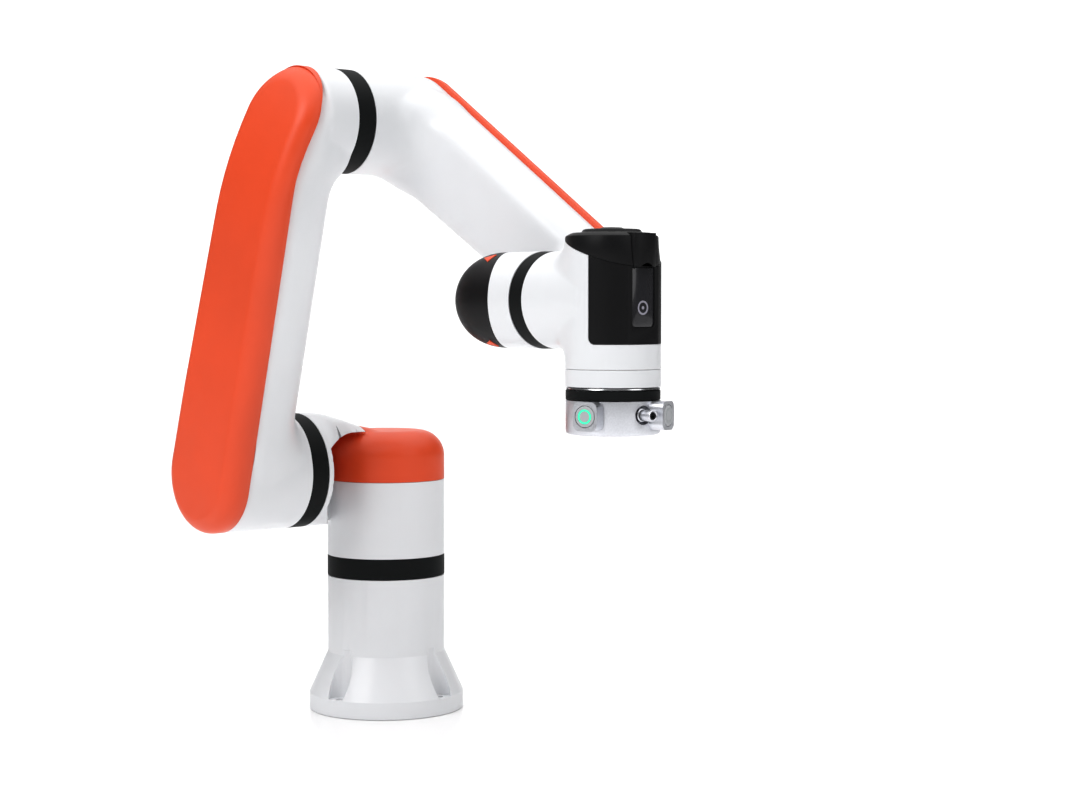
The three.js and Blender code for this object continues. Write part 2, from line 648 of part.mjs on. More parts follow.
const PORT_FLOOR = FLANGE.radius - PORT.recessDepth + GAP;

const portBarrel = () =>
  tube(PORT.bore, PORT.barrel, PORT_FLOOR, PORT.reach, PORT_PLACE, outward(PORT.angle), 16);

const portInsert = () =>
  rod(PORT.bore - GAP, PORT_FLOOR, PORT.reach - PORT.insertSunk, PORT_PLACE, outward(PORT.angle), 12);

// ---- what each joint holds: sizes are shares of the joint's radius ----
const DRIVE_SIDES = 14;
const band = (inner, outer, low, high) =>
  [[inner, low], [outer, low], [outer, high], [inner, high], [inner, low]];
const DRIVE_PARTS = {
  stator: { look: 'copper', corners: band(0.6, 0.86, -0.76, -0.44) },
  rotor: {
    look: 'steel',
    corners: [
      [0.16, -0.84], [0.24, -0.84], [0.24, -0.74], [0.56, -0.74], [0.56, -0.46], [0.24, -0.46],
      [0.24, -0.27], [0.4, -0.27], [0.4, -0.16], [0.16, -0.16], [0.16, -0.84],
    ],
  },
  reducer: { look: 'steel', corners: band(0.45, 0.86, -0.4, -0.14) },
  output: { look: 'aluminium', corners: band(0.22, 0.8, -0.11, 0.06) },
  board: { look: 'board', corners: band(0.3, 0.82, -0.93, -0.89) },
};

function drivePart(kind, ring, middle, direction) {
  const corners = DRIVE_PARTS[kind].corners.map(([r, a]) => [r * ring.radius, a * ring.radius]);
  return turned(corners, middle, direction, DRIVE_SIDES);
}

const ringMiddle = (ring) => (ring.from + ring.to) / 2;
const JOINTS = [
  { name: 'j1', ring: RING1, at: V(0, 0, 0), axis: UP, direction: UP, board: true },
  { name: 'j2', ring: RING2, at: SHOULDER_POINT, axis: TO_LEFT, direction: TO_RIGHT, board: true },
  { name: 'j3', ring: RING3, at: ELBOW_POINT, axis: TO_LEFT, direction: TO_RIGHT, board: true },
  { name: 'j4', ring: RING4, at: WRIST_POINT, axis: TO_LEFT, direction: TO_LEFT, board: false },
  { name: 'j5', ring: RING5, at: WRIST_PLACE, axis: FORWARD, direction: FORWARD, board: false },
  { name: 'j6', ring: RING6, at: TOOL_PLACE, axis: DOWN, direction: DOWN, board: false },
];

// ---- the arm ----
const bandAt = (radius, low, high) => tube(radius - RING_WALL, radius, low, high, TOOL_PLACE, UP);

const arm = new THREE.Group();

function addNode(name, solid, look) {
  const mesh = new THREE.Mesh(toGeometry(solid), LOOK[look]);
  mesh.name = name;
  arm.add(mesh);
}

addNode('base_foot', baseFoot(), 'white');
addNode('cable_inlet', inletSocket(), 'black');
addNode('cable_inlet_insert', inletInsert(), 'black');
addNode('shoulder_housing', shoulderHousing(), 'white');
addNode('shoulder_cap', shoulderCap(), 'orange');
addNode('upper_arm', upperArm(), 'white');
addNode('upper_arm_cover', upperArmCover(), 'orange');
addNode('forearm', forearm(), 'white');
addNode('forearm_cover', forearmCover(), 'orange');
addNode('wrist1_housing', wrist1Housing(), 'white');
addNode('wrist1_cap', wrist1Cap(), 'black');
addNode('wrist1_clip_upper', wrist1Clip(1, 0), 'orange');
addNode('wrist1_clip_lower', wrist1Clip(-1, 0), 'orange');
addNode('wrist2_housing', wrist2Housing(), 'white');
addNode('wrist2_cap', wrist2Cap(), 'black');
addNode('wrist2_visor', wrist2Visor(), 'black');
addNode('wrist2_hood', hoodForm(0), 'black');
addNode('wrist2_panel', inlay(), 'gloss');
addNode('wrist2_collar', bandAt(WRIST2.radius, WRIST2.collarBottom, WRIST2.collarTop), 'white');
addNode('wrist2_rim', bandAt(FLANGE.radius, WRIST2.rimBottom, WRIST2.collarBottom - GAP), 'aluminium');
addNode('tool_flange', toolFlange(), 'aluminium');
addNode('port_barrel', portBarrel(), 'aluminium');
addNode('port_insert', portInsert(), 'black');

BOSS_ANGLES.forEach((angle, k) => {
  addNode(`flange_button_${k + 1}`, flangeButton(angle), 'button');
  addNode(`button_light_${k + 1}`, buttonLight(angle), 'led');
});

for (const joint of JOINTS) {
  const { name, ring, at, axis, direction } = joint;
  const middle = at.clone().addScaledVector(axis, ringMiddle(ring));
  const half = (ring.to - ring.from) / 2 - GAP / 2;
  const seal = tube(ring.radius - RING_WALL, ring.radius, -half, half, middle, direction);
  addNode(`${name}_seal_ring`, seal, 'black');
  for (const kind of Object.keys(DRIVE_PARTS)) {
    if (kind === 'board' && !joint.board) continue;
    addNode(`${name}_${kind}`, drivePart(kind, ring, middle, direction), DRIVE_PARTS[kind].look);
  }
}

export default arm;
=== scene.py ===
"""Looks for a six-axis collaborative robot arm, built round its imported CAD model.

Housings are smooth unions of simple solids, meshed from a distance field and then cut
into their separate shells. Turned parts, covers and trims are built ring by ring.
"""
import itertools
import json
import math

import bmesh
import bpy
import numpy as np
from mathutils import Matrix, Vector


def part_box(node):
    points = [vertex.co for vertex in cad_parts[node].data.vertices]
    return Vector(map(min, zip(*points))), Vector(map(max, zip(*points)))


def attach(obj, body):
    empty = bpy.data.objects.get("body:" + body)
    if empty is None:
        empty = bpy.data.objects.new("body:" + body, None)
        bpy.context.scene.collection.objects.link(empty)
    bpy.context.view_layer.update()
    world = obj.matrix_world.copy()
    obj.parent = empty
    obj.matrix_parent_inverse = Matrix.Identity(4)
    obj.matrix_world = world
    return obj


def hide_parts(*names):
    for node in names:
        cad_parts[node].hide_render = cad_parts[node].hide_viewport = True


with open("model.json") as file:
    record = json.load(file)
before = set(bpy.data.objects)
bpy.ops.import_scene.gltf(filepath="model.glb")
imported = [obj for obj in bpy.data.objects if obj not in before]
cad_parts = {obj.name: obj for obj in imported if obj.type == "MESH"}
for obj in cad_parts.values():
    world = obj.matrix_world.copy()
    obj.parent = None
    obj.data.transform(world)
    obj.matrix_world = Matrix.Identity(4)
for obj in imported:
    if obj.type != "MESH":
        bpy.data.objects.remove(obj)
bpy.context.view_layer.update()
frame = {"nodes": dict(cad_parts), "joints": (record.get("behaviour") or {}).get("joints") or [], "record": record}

MM = 0.001
GAP = 0.3 * MM
FAR = 0.6
WALL = 4 * MM
# How far a cutter runs past the face that it opens.
PAST = 5 * MM
X, Y, Z = Vector((1, 0, 0)), Vector((0, 1, 0)), Vector((0, 0, 1))

# ---- places, read from the frame ----
JOINT = {j["name"]: Vector(j["pos_m"]) for j in frame["joints"] if "pos_m" in j}
SHOULDER = JOINT["shoulder_joint"]
ELBOW = JOINT["elbow_joint"]
WRIST = JOINT["wrist_1_joint"]
NECK = JOINT["wrist_2_joint"]
TOOL = JOINT["wrist_3_joint"]
UPPER_LENGTH = (Vector((ELBOW.x, 0, ELBOW.z)) - Vector((SHOULDER.x, 0, SHOULDER.z))).length
FORE_LENGTH = (Vector((WRIST.x, 0, WRIST.z)) - Vector((ELBOW.x, 0, ELBOW.z))).length
UPPER_ALONG = Vector((ELBOW.x - SHOULDER.x, 0, ELBOW.z - SHOULDER.z)).normalized()
FORE_ALONG = Vector((WRIST.x - ELBOW.x, 0, WRIST.z - ELBOW.z)).normalized()
WRIST_Y = NECK.y
WRIST_Z = NECK.z


def ring_span(joint, axis):
    """Radius, low and high places along an axis of a joint's seal ring."""
    low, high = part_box(f"{joint}_seal_ring")
    across = (axis + 1) % 3
    return (high[across] - low[across]) / 2, low[axis], high[axis]


RING1 = ring_span("j1", 2)
RING2 = ring_span("j2", 1)
RING3 = ring_span("j3", 1)
RING4 = ring_span("j4", 1)
RING5 = ring_span("j5", 0)
RING6 = ring_span("j6", 2)

# ---- sizes of the castings and covers, in metres ----
COLUMN_RADIUS = 48 * MM
FOOT_RADIUS, FOOT_SIDE, FLARE_TOP = 63.2 * MM, 13.7 * MM, 47.5 * MM
BOLT_CIRCLE, BOLT_HOLE, POCKET_RADIUS = 56.5 * MM, 3.3 * MM, 9.5 * MM
FIRST_POCKET = math.radians(12)
CAP_EDGE, SHOULDER_TOP, SHOULDER_ROUND, CAP_FRONT = 188.7 * MM, 228.5 * MM, 21 * MM, -31 * MM
NECK_TURN, NECK_FLANGE = math.radians(35.3), 84 * MM
NECK_DRAW_BACK, NECK_DRAW_OVER = 20 * MM, 40 * MM
NECK_SINK_FROM, NECK_SINK_OVER = 80 * MM, 78 * MM
UPPER_LOW, UPPER_HIGH = 45 * MM, 39.3 * MM
UPPER_SEAM, UPPER_SEAM_DROP, UPPER_DROP_START = 161.5 * MM, 18.5 * MM, 235 * MM
UPPER_FACE, UPPER_ROUND, UPPER_BACK, UPPER_BACK_ROUND = 181.7 * MM, 13 * MM, 117.5 * MM, 30 * MM
UPPER_TAPER, UPPER_TAPER_START, UPPER_BOW, UPPER_BOW_START = 0.018, 60 * MM, 1.8, 200 * MM
FORE_LOW, FORE_HIGH, FORE_THICK = 39.3 * MM, 33.4 * MM, 51 * MM
FORE_MIDDLE_ELBOW, FORE_MIDDLE_WRIST = -33 * MM, -12 * MM
FORE_ROUND, FORE_COVER = 17 * MM, 13 * MM
WRIST1_RADIUS, DOME_END, DOME_START = 33 * MM, 41.5 * MM, 2 * MM
CAP_CENTRE, CAP_SKEW = -2 * MM, 0.47
BARREL_RADIUS, CAP_BOTTOM, CAP_SIDE, BARREL_FLAT = 31.4 * MM, -28.4 * MM, 9 * MM, 28.6 * MM
VISOR_MIDDLE, VISOR_SLOPE = 31.9 * MM, 0.343
COLLAR_TOP, COLLAR_BOTTOM, RIM_BOTTOM = -45 * MM, -56.3 * MM, -58.1 * MM
FLANGE_RADIUS, FLANGE_TOP, FLANGE_BOTTOM = 31 * MM, -65.2 * MM, -87.5 * MM
BOSS_ANGLES = (math.radians(-69.8), math.radians(20.2))
BOSS_REACH, BOSS_Z = 40 * MM, -74.4 * MM
PORT_ANGLE, PORT_Z = math.radians(-4), -74 * MM


# ---- the space that each casting is meshed in ----
SHOULDER_SPACE = ((-0.05, -0.112, 0.088), (0.05, 0.05, 0.248))
UPPER_SPACE = ((-0.048, -0.184, 0.152), (0.122, -0.085, 0.512))
FORE_SPACE = ((0.036, -0.12, 0.296), (0.318, 0.03, 0.514))
WRIST1_SPACE = ((0.235, -0.138, 0.296), (0.328, -0.05, 0.372))
WRIST2_SPACE = ((0.318, -0.138, 0.272), (0.416, -0.064, 0.382))


# ---- mesh helpers ----
def new_object(name, vertices, faces):
    mesh = bpy.data.meshes.new(name)
    mesh.from_pydata([tuple(v) for v in vertices], [], [tuple(f) for f in faces])
    mesh.validate()
    mesh.update()
    piece = bpy.data.objects.new(name, mesh)
    bpy.context.scene.collection.objects.link(piece)
    return piece


def frame_matrix(place, direction):
    """Turns +Z onto a direction and moves the origin to a place."""
    return Matrix.Translation(place) @ Z.rotation_difference(direction).to_matrix().to_4x4()


def turned(name, corners, place=Vector(), direction=Z, sides=128):
    """A solid of revolution from (radius, height) corners. It closes on the axis or on itself."""
    matrix = frame_matrix(place, direction)
    closed = corners[0][0] > 0
    vertices, faces, rows = [], [], []
    for radius, height in corners:
        if radius <= 0:
            rows.append([len(vertices)] * sides)
            vertices.append(matrix @ Vector((0, 0, height)))
            continue
        rows.append(list(range(len(vertices), len(vertices) + sides)))
        for k in range(sides):
            turn = 2 * math.pi * k / sides
            vertices.append(matrix @ Vector((radius * math.cos(turn), radius * math.sin(turn), height)))
    count = len(rows) if closed else len(rows) - 1
    for r in range(count):
        low, high = rows[r], rows[(r + 1) % len(rows)]
        for k in range(sides):
            after = (k + 1) % sides
            loop = [low[k], low[after], high[after], high[k]]
            faces.append(list(dict.fromkeys(loop)))
    piece = new_object(name, vertices, [f for f in faces if len(f) > 2])
    face_outwards(piece)
    return piece


def face_outwards(piece):
    work = bmesh.new()
    work.from_mesh(piece.data)
    bmesh.ops.recalc_face_normals(work, faces=work.faces)
    work.to_mesh(piece.data)
    work.free()


def skin(name, rings):
    """A closed skin through rings whose points mirror about the middle; ladders close its ends."""
    count = len(rings[0])
    vertices = [p for ring in rings for p in ring]
    faces = []
    for r in range(len(rings) - 1):
        for k in range(count):
            after = (k + 1) % count
            a, b = r * count + k, r * count + after
            faces.append((a, b, b + count, a + count))
    last = (len(rings) - 1) * count
    for k in range(count // 2 - 1):
        faces.append((k + 1, k, count - 1 - k, count - 2 - k))
        faces.append((last + k, last + k + 1, last + count - 2 - k, last + count - 1 - k))
    piece = new_object(name, vertices, faces)
    face_outwards(piece)
    return piece


def box(name, low, high):
    corners = list(itertools.product(*zip(low, high)))
    faces = [(0, 1, 3, 2), (4, 6, 7, 5), (0, 4, 5, 1), (2, 3, 7, 6), (0, 2, 6, 4), (1, 5, 7, 3)]
    return new_object(name, corners, faces)


def prism(name, outline, depth, matrix):
    """An outline of (x, y) points, pushed along its own +Z to a depth, then placed."""
    count = len(outline)
    vertices = [matrix @ Vector((x, y, 0)) for x, y in outline]
    vertices += [matrix @ Vector((x, y, depth)) for x, y in outline]
    faces = [tuple(range(count))[::-1], tuple(range(count, 2 * count))]
    for k in range(count):
        after = (k + 1) % count
        faces.append((k, after, count + after, count + k))
    piece = new_object(name, vertices, faces)
    face_outwards(piece)
    return piece


def round_rectangle(half_width, half_height, radius, steps=8):
    outline = []
    for corner, (sx, sy) in enumerate(((1, 1), (-1, 1), (-1, -1), (1, -1))):
        centre = (sx * (half_width - radius), sy * (half_height - radius))
        for k in range(steps + 1):
            turn = math.pi / 2 * (corner + k / steps)
            outline.append((centre[0] + radius * math.cos(turn), centre[1] + radius * math.sin(turn)))
    return outline


def settle(piece):
    """Applies every modifier of a piece to its mesh."""
    graph = bpy.context.evaluated_depsgraph_get()
    mesh = bpy.data.meshes.new_from_object(piece.evaluated_get(graph))
    piece.modifiers.clear()
    piece.data = mesh
    return piece


def cut(piece, cutters, how="DIFFERENCE"):
    """Cuts a piece with helper solids, which are then thrown away."""
    for cutter in cutters:
        knife = piece.modifiers.new("cut", "BOOLEAN")
        knife.operation = how
        knife.solver = "EXACT"
        knife.object = cutter
    settle(piece)
    for cutter in cutters:
        bpy.data.objects.remove(cutter)
    return piece


def copy_of(piece, name):
    twin = piece.copy()
    twin.data = piece.data.copy()
    twin.name = name
    bpy.context.scene.collection.objects.link(twin)
    return twin


def soften(piece, width=0.4 * MM, steps=2, angle=38):
    """Rounds the sharp edges a little, so that they catch the light."""
    bevel = piece.modifiers.new("edge", "BEVEL")
    bevel.width = width
    bevel.segments = steps
    bevel.limit_method = "ANGLE"
    bevel.angle_limit = math.radians(angle)
    settle(piece)
    shade(piece, angle)
    return piece


def shade(piece, angle=38):
    piece.data.shade_smooth()
    piece.data.set_sharp_from_angle(angle=math.radians(angle))
    return piece


# ---- distance fields ----
def rod_distance(points, place, axis, radius, low, high, rounding=1.5 * MM):
    """Distance to a rounded cylinder that runs from low to high along an axis from a place."""
    offset = points - np.array(place)
    height = offset @ np.array(axis)
    radial = np.sqrt(np.maximum((offset ** 2).sum(1) - height ** 2, 0))
    side = radial - radius + rounding
    end = np.abs(height - (low + high) / 2) - (high - low) / 2 + rounding
    outside = np.hypot(np.maximum(side, 0), np.maximum(end, 0))
    return np.minimum(np.maximum(side, end), 0) + outside - rounding


def link_distance(points, place, along, length, radii, near_at, far_at, rounding):
    """Distance to a bar with round ends, whose two faces sit at given places along Y."""
    offset = points - np.array(place)
    across = np.array((along.z, 0, -along.x))
    run = offset @ np.array(along)
    part = np.clip(run, 0, length)
    radius = radii[0] + (radii[1] - radii[0]) * part / length
    side = np.hypot(run - part, offset @ across) - radius + rounding
    near, far = near_at(run), far_at(run)
    end = np.abs(points[:, 1] - (near + far) / 2) - (far - near) / 2 + rounding
    outside = np.hypot(np.maximum(side, 0), np.maximum(end, 0))
    return np.minimum(np.maximum(side, end), 0) + outside - rounding


def lean(points, place, axis, direction):
    """Cosine between a direction and the way out from an axis to each point."""
    offset = points - np.array(place)
    offset = offset - np.outer(offset @ np.array(axis), axis)
    size = np.maximum(np.sqrt((offset ** 2).sum(1)), MM)
    return offset @ np.array(direction) / size


def soft_union(first, second, blend):
    """The nearer of two surfaces, with a fillet as wide as the blend where they meet."""
    blend = np.maximum(blend, 0.01 * MM)
    reach = np.maximum(blend - np.abs(first - second), 0) / blend
    return np.minimum(first, second) - reach * reach * blend / 4


NUDGE = 0.2 * MM
PULLS = 4


def pull_to_surface(points, distance):
    for _ in range(PULLS):
        value = distance(points)
        slope = np.stack([
            distance(points + NUDGE * np.eye(3)[k]) - distance(points - NUDGE * np.eye(3)[k])
            for k in range(3)
        ], 1) / (2 * NUDGE)
        steep = np.maximum((slope ** 2).sum(1), 0.2)
        points = points - slope * (value / steep)[:, None]
    return points


def field_mesh(name, distance, low, high, step=2 * MM):
    """Meshes the zero surface of a distance field inside a box, as even quads."""
    axes = [np.arange(low[k] - 2 * step, high[k] + 3 * step, step) for k in range(3)]
    shape = tuple(len(a) for a in axes)
    grid = np.stack(np.meshgrid(*axes, indexing="ij"), -1).reshape(-1, 3)
    inside = (distance(grid) < 0).reshape(shape)
    held = sum(
        inside[i:shape[0] - 1 + i, j:shape[1] - 1 + j, k:shape[2] - 1 + k].astype(int)
        for i in (0, 1) for j in (0, 1) for k in (0, 1)
    )
    mixed = (held > 0) & (held < 8)
    number = np.full(held.shape, -1)
    number[mixed] = np.arange(mixed.sum())
    cells = np.argwhere(mixed)
    points = np.array([a[0] for a in axes]) + (cells + 0.5) * step
    points = pull_to_surface(points, distance)
    faces = []
    for axis in range(3):
        faces += quads_across(inside, number, axis)
    return shade(new_object(name, points, faces), 60)


def quads_across(inside, number, axis):
    """One quad for each grid edge along an axis whose ends lie on different sides."""
    one, two = (axis + 1) % 3, (axis + 2) % 3
    ahead = np.moveaxis(inside, (axis, one, two), (0, 1, 2))
    cell = np.moveaxis(number, (axis, one, two), (0, 1, 2))
    start, end = ahead[:-1, 1:-1, 1:-1], ahead[1:, 1:-1, 1:-1]
    corners = [cell[:, :-1, :-1], cell[:, 1:, :-1], cell[:, 1:, 1:], cell[:, :-1, 1:]]
    faces = []
    for crossing, order in ((start & ~end, (0, 1, 2, 3)), (~start & end, (3, 2, 1, 0))):
        faces += np.stack([corners[k][crossing] for k in order], 1).tolist()
    return faces


# ---- procedural materials ----
def material(name, colour, roughness, metallic=0.0, **sockets):
    """A Principled material. Returns it with its nodes ready for detail."""
    made = bpy.data.materials.new(name)
    made.use_nodes = True
    shader = made.node_tree.nodes["Principled BSDF"]
    shader.inputs["Base Color"].default_value = (*colour, 1)
    shader.inputs["Roughness"].default_value = roughness
    shader.inputs["Metallic"].default_value = metallic
    for socket, value in sockets.items():
        shader.inputs[socket.replace("_", " ")].default_value = value
    return made


def noise(made, scale, detail=3.0, stretch=(1, 1, 1)):
    nodes, links = made.node_tree.nodes, made.node_tree.links
    place = nodes.new("ShaderNodeTexCoord")
    mapping = nodes.new("ShaderNodeMapping")
    mapping.inputs["Scale"].default_value = stretch
    texture = nodes.new("ShaderNodeTexNoise")
    texture.inputs["Scale"].default_value = scale
    texture.inputs["Detail"].default_value = detail
    links.new(place.outputs["Object"], mapping.inputs["Vector"])
    links.new(mapping.outputs["Vector"], texture.inputs["Vector"])
    return texture.outputs["Fac"]


def vary_colour(made, factor, dark, light):
    nodes, links = made.node_tree.nodes, made.node_tree.links
    ramp = nodes.new("ShaderNodeValToRGB")
    ramp.color_ramp.elements[0].position = 0.3
    ramp.color_ramp.elements[1].position = 0.7
    ramp.color_ramp.elements[0].color = (*dark, 1)
    ramp.color_ramp.elements[1].color = (*light, 1)
    links.new(factor, ramp.inputs["Fac"])
    links.new(ramp.outputs["Color"], nodes["Principled BSDF"].inputs["Base Color"])


def vary_roughness(made, factor, low, high):
    nodes, links = made.node_tree.nodes, made.node_tree.links
    spread = nodes.new("ShaderNodeMapRange")
    spread.inputs["To Min"].default_value = low
    spread.inputs["To Max"].default_value = high
    links.new(factor, spread.inputs["Value"])
    links.new(spread.outputs["Result"], nodes["Principled BSDF"].inputs["Roughness"])


def add_bump(made, factor, strength, distance):
    nodes, links = made.node_tree.nodes, made.node_tree.links
    bump = nodes.new("ShaderNodeBump")
    bump.inputs["Strength"].default_value = strength
    bump.inputs["Distance"].default_value = distance
    links.new(factor, bump.inputs["Height"])
    links.new(bump.outputs["Normal"], nodes["Principled BSDF"].inputs["Normal"])


def finish_paint(name, colour, shade_of, roughness, grain, **sockets):
    """Painted or moulded surface: slow colour drift, gloss patches and a fine grain."""
    made = material(name, colour, roughness, **sockets)
    vary_colour(made, noise(made, 14), [c * shade_of for c in colour], colour)
    vary_roughness(made, noise(made, 55, 4), roughness - 0.05, roughness + 0.07)
    add_bump(made, noise(made, grain, 2), 0.12, 0.05 * MM)
    return made


def metal(name, colour, roughness, stretch, grain=900):
    """Fine-turned or blasted metal, with the grain drawn out along one direction."""
    made = material(name, colour, roughness, metallic=1.0)
    grains = noise(made, grain, 4, stretch)
    vary_colour(made, grains, [c * 0.9 for c in colour], colour)
    vary_roughness(made, grains, roughness - 0.06, roughness + 0.1)
    add_bump(made, grains, 0.1, 0.03 * MM)
    return made


def glow(name, colour, strength):
    made = finish_paint(name, colour, 0.85, 0.3, 800)
    shader = made.node_tree.nodes["Principled BSDF"]
    shader.inputs["Emission Color"].default_value = (*colour, 1)
    shader.inputs["Emission Strength"].default_value = strength
    return made


def copper_winding(name):
    """Enamelled wire: narrow bright and dark bands round the ring."""
    made = material(name, (0.45, 0.16, 0.06), 0.35, metallic=0.7)
    bands = noise(made, 400, 2, (6, 1, 1))
    vary_colour(made, bands, (0.22, 0.07, 0.03), (0.6, 0.24, 0.09))
    add_bump(made, bands, 0.5, 0.2 * MM)
    return made


MATERIAL = {
    "white": finish_paint("white_paint", (0.80, 0.81, 0.83), 0.965, 0.36, 1400,
                          Coat_Weight=0.25, Coat_Roughness=0.18),
    "orange": finish_paint("orange_cover", (0.80, 0.098, 0.028), 0.93, 0.42, 1300,
                           Coat_Weight=0.1, Coat_Roughness=0.3),
    "black": finish_paint("black_plastic", (0.011, 0.011, 0.012), 0.75, 0.4, 1500,
                          Specular_IOR_Level=0.22),
    "gloss": finish_paint("gloss_panel", (0.03, 0.03, 0.034), 0.9, 0.13, 500, Coat_Weight=0.45),
    "seal": finish_paint("seal_rubber", (0.013, 0.0145, 0.015), 0.8, 0.5, 1100, Specular_IOR_Level=0.12),
    "aluminium": metal("satin_aluminium", (0.72, 0.73, 0.77), 0.34, (1, 1, 1)),
    "trim": metal("bright_trim", (0.83, 0.84, 0.86), 0.2, (1, 1, 8)),
    "steel": metal("turned_steel", (0.45, 0.46, 0.48), 0.3, (1, 1, 1)),
    "copper": copper_winding("winding"),
    "board": finish_paint("circuit_board", (0.02, 0.16, 0.06), 0.6, 0.5, 600),
    "button": finish_paint("button_grey", (0.47, 0.48, 0.5), 0.92, 0.4, 1200),
    "light": glow("light_ring", (0.05, 0.72, 0.40), 0.6),
    "unlit": finish_paint("unlit_ring", (0.43, 0.45, 0.46), 0.92, 0.3, 900),
    "mark": finish_paint("panel_mark", (0.35, 0.34, 0.4), 0.95, 0.35, 1200),
    "dark": finish_paint("dark_recess", (0.004, 0.004, 0.005), 0.8, 0.7, 900),
}


def keep(piece, slot, body, *nodes, look=None):
    """Gives a piece its material and its place in the machine, and hides the CAD nodes it stands for."""
    piece.data.materials.clear()
    piece.data.materials.append(MATERIAL[look or slot])
    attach(piece, body)
    if nodes:
        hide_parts(*nodes)
    return piece


def dress_inner_parts():
    """The motors, gears and boards keep their CAD shape and get real finishes."""
    slots = {s["node"]: s["material_slot"] for s in frame["record"]["subparts"]}
    for name, node in frame["nodes"].items():
        node.data.materials.clear()
        node.data.materials.append(MATERIAL[slots[name]])
        shade(node, 30)


# ---- outlines of the two links ----
ARC_STEPS = 26
SIDE_STEPS = 22


def quarter_turns():
    """Angles through a quarter circle, each half a step off its ends."""
    return [(k + 0.5) / ARC_STEPS * math.pi / 2 for k in range(ARC_STEPS)]


def link_outline(length, start_radius, end_radius, inset):
    start, end = start_radius - inset, end_radius - inset
    half = [(length + math.cos(turn) * end, math.sin(turn) * end) for turn in quarter_turns()]
    for k in range(SIDE_STEPS + 1):
        part = k / SIDE_STEPS
        half.append((length * (1 - part), end_radius + (start_radius - end_radius) * part - inset))
    half += [(-math.sin(turn) * start, math.cos(turn) * start) for turn in quarter_turns()]
    return half + [(s, -w) for s, w in reversed(half)]


def link_ring(place, along, outline, y_at):
    across = Vector((along.z, 0, -along.x))
    ring = []
    for run, side in outline:
        point = place + along * run + across * side
        ring.append(Vector((point.x, y_at(run), point.z)))
    return ring


def ease(value):
    part = np.clip(value, 0, 1)
    return part * part * (3 - 2 * part)


def upper_seam(run):
    reach = UPPER_LENGTH + UPPER_HIGH - UPPER_DROP_START
    return UPPER_SEAM - UPPER_SEAM_DROP * ease((run - UPPER_DROP_START) / reach)


def upper_face(run):
    slow = UPPER_TAPER * np.maximum(0, run - UPPER_TAPER_START)
    quick = UPPER_BOW * np.maximum(0, run - UPPER_BOW_START) ** 2
    return UPPER_FACE - slow - quick


def fore_middle(run):
    return FORE_MIDDLE_ELBOW + (FORE_MIDDLE_WRIST - FORE_MIDDLE_ELBOW) * run / FORE_LENGTH


def fore_seam(run):
    return fore_middle(run) + FORE_THICK / 2 - FORE_COVER


def cover_rings(ring_at, seam_at, top_at, rounding, steps=12, lip=0.5 * MM):
    """Rings from a cover's seam, up its wall and over its rounded edge."""
    rings = [ring_at(lip, lambda s: seam_at(s)), ring_at(0, lambda s: seam_at(s) + lip)]
    for k in range(steps + 1):
        turn = k / steps * math.pi / 2
        rise, inset = rounding * math.sin(turn), rounding * (1 - math.cos(turn))
        rings.append(ring_at(inset, lambda s, rise=rise: top_at(s) - rounding + rise))
    return rings


# ---- base ----
FOOT_EDGE, FOOT_FLOOR = 0.6 * MM, 8 * MM
HOLE_FROM, HOLE_TO = -10 * MM, 30 * MM
INLET_HOLE, INLET_FROM, INLET_TO = 8 * MM, 40 * MM, 80 * MM


def bore(place, axis, radius, low, high, sides=72):
    return turned("bore", [(0, low), (radius, low), (radius, high), (0, high)], place, axis, sides)


def base_foot():
    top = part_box("base_foot")[1].z
    inner = COLUMN_RADIUS - WALL
    piece = turned("base_casting", [
        (0, 0), (FOOT_RADIUS - FOOT_EDGE, 0), (FOOT_RADIUS, FOOT_EDGE), (FOOT_RADIUS, FOOT_SIDE),
        (COLUMN_RADIUS, FLARE_TOP), (COLUMN_RADIUS, top), (inner, top), (inner, FOOT_FLOOR),
        (0, FOOT_FLOOR),
    ])
    cutters = []
    for k in range(4):
        place = outward(FIRST_POCKET + k * math.pi / 2) * BOLT_CIRCLE
        cutters.append(bore(place, Z, POCKET_RADIUS, FOOT_SIDE, FLARE_TOP + PAST, 64))
        cutters.append(bore(place, Z, BOLT_HOLE, HOLE_FROM, HOLE_TO, 40))
    low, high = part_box("cable_inlet")
    middle = Vector((0, 0, (low.z + high.z) / 2))
    cutters.append(bore(middle, -X, INLET_HOLE, INLET_FROM, INLET_TO, 48))
    cut(piece, cutters)
    soften(piece, 0.7 * MM, 3, 15)
    keep(piece, "white", "base", "base_foot")


RIDGE_START, RIDGE_STEP, RIDGE_DEPTH = 48.6 * MM, 1.4 * MM, 0.7 * MM
PINS, PIN_CIRCLE, PIN_RADIUS, PIN_FROM, PIN_TO = 5, 3.6 * MM, 0.9 * MM, 46 * MM, 60 * MM


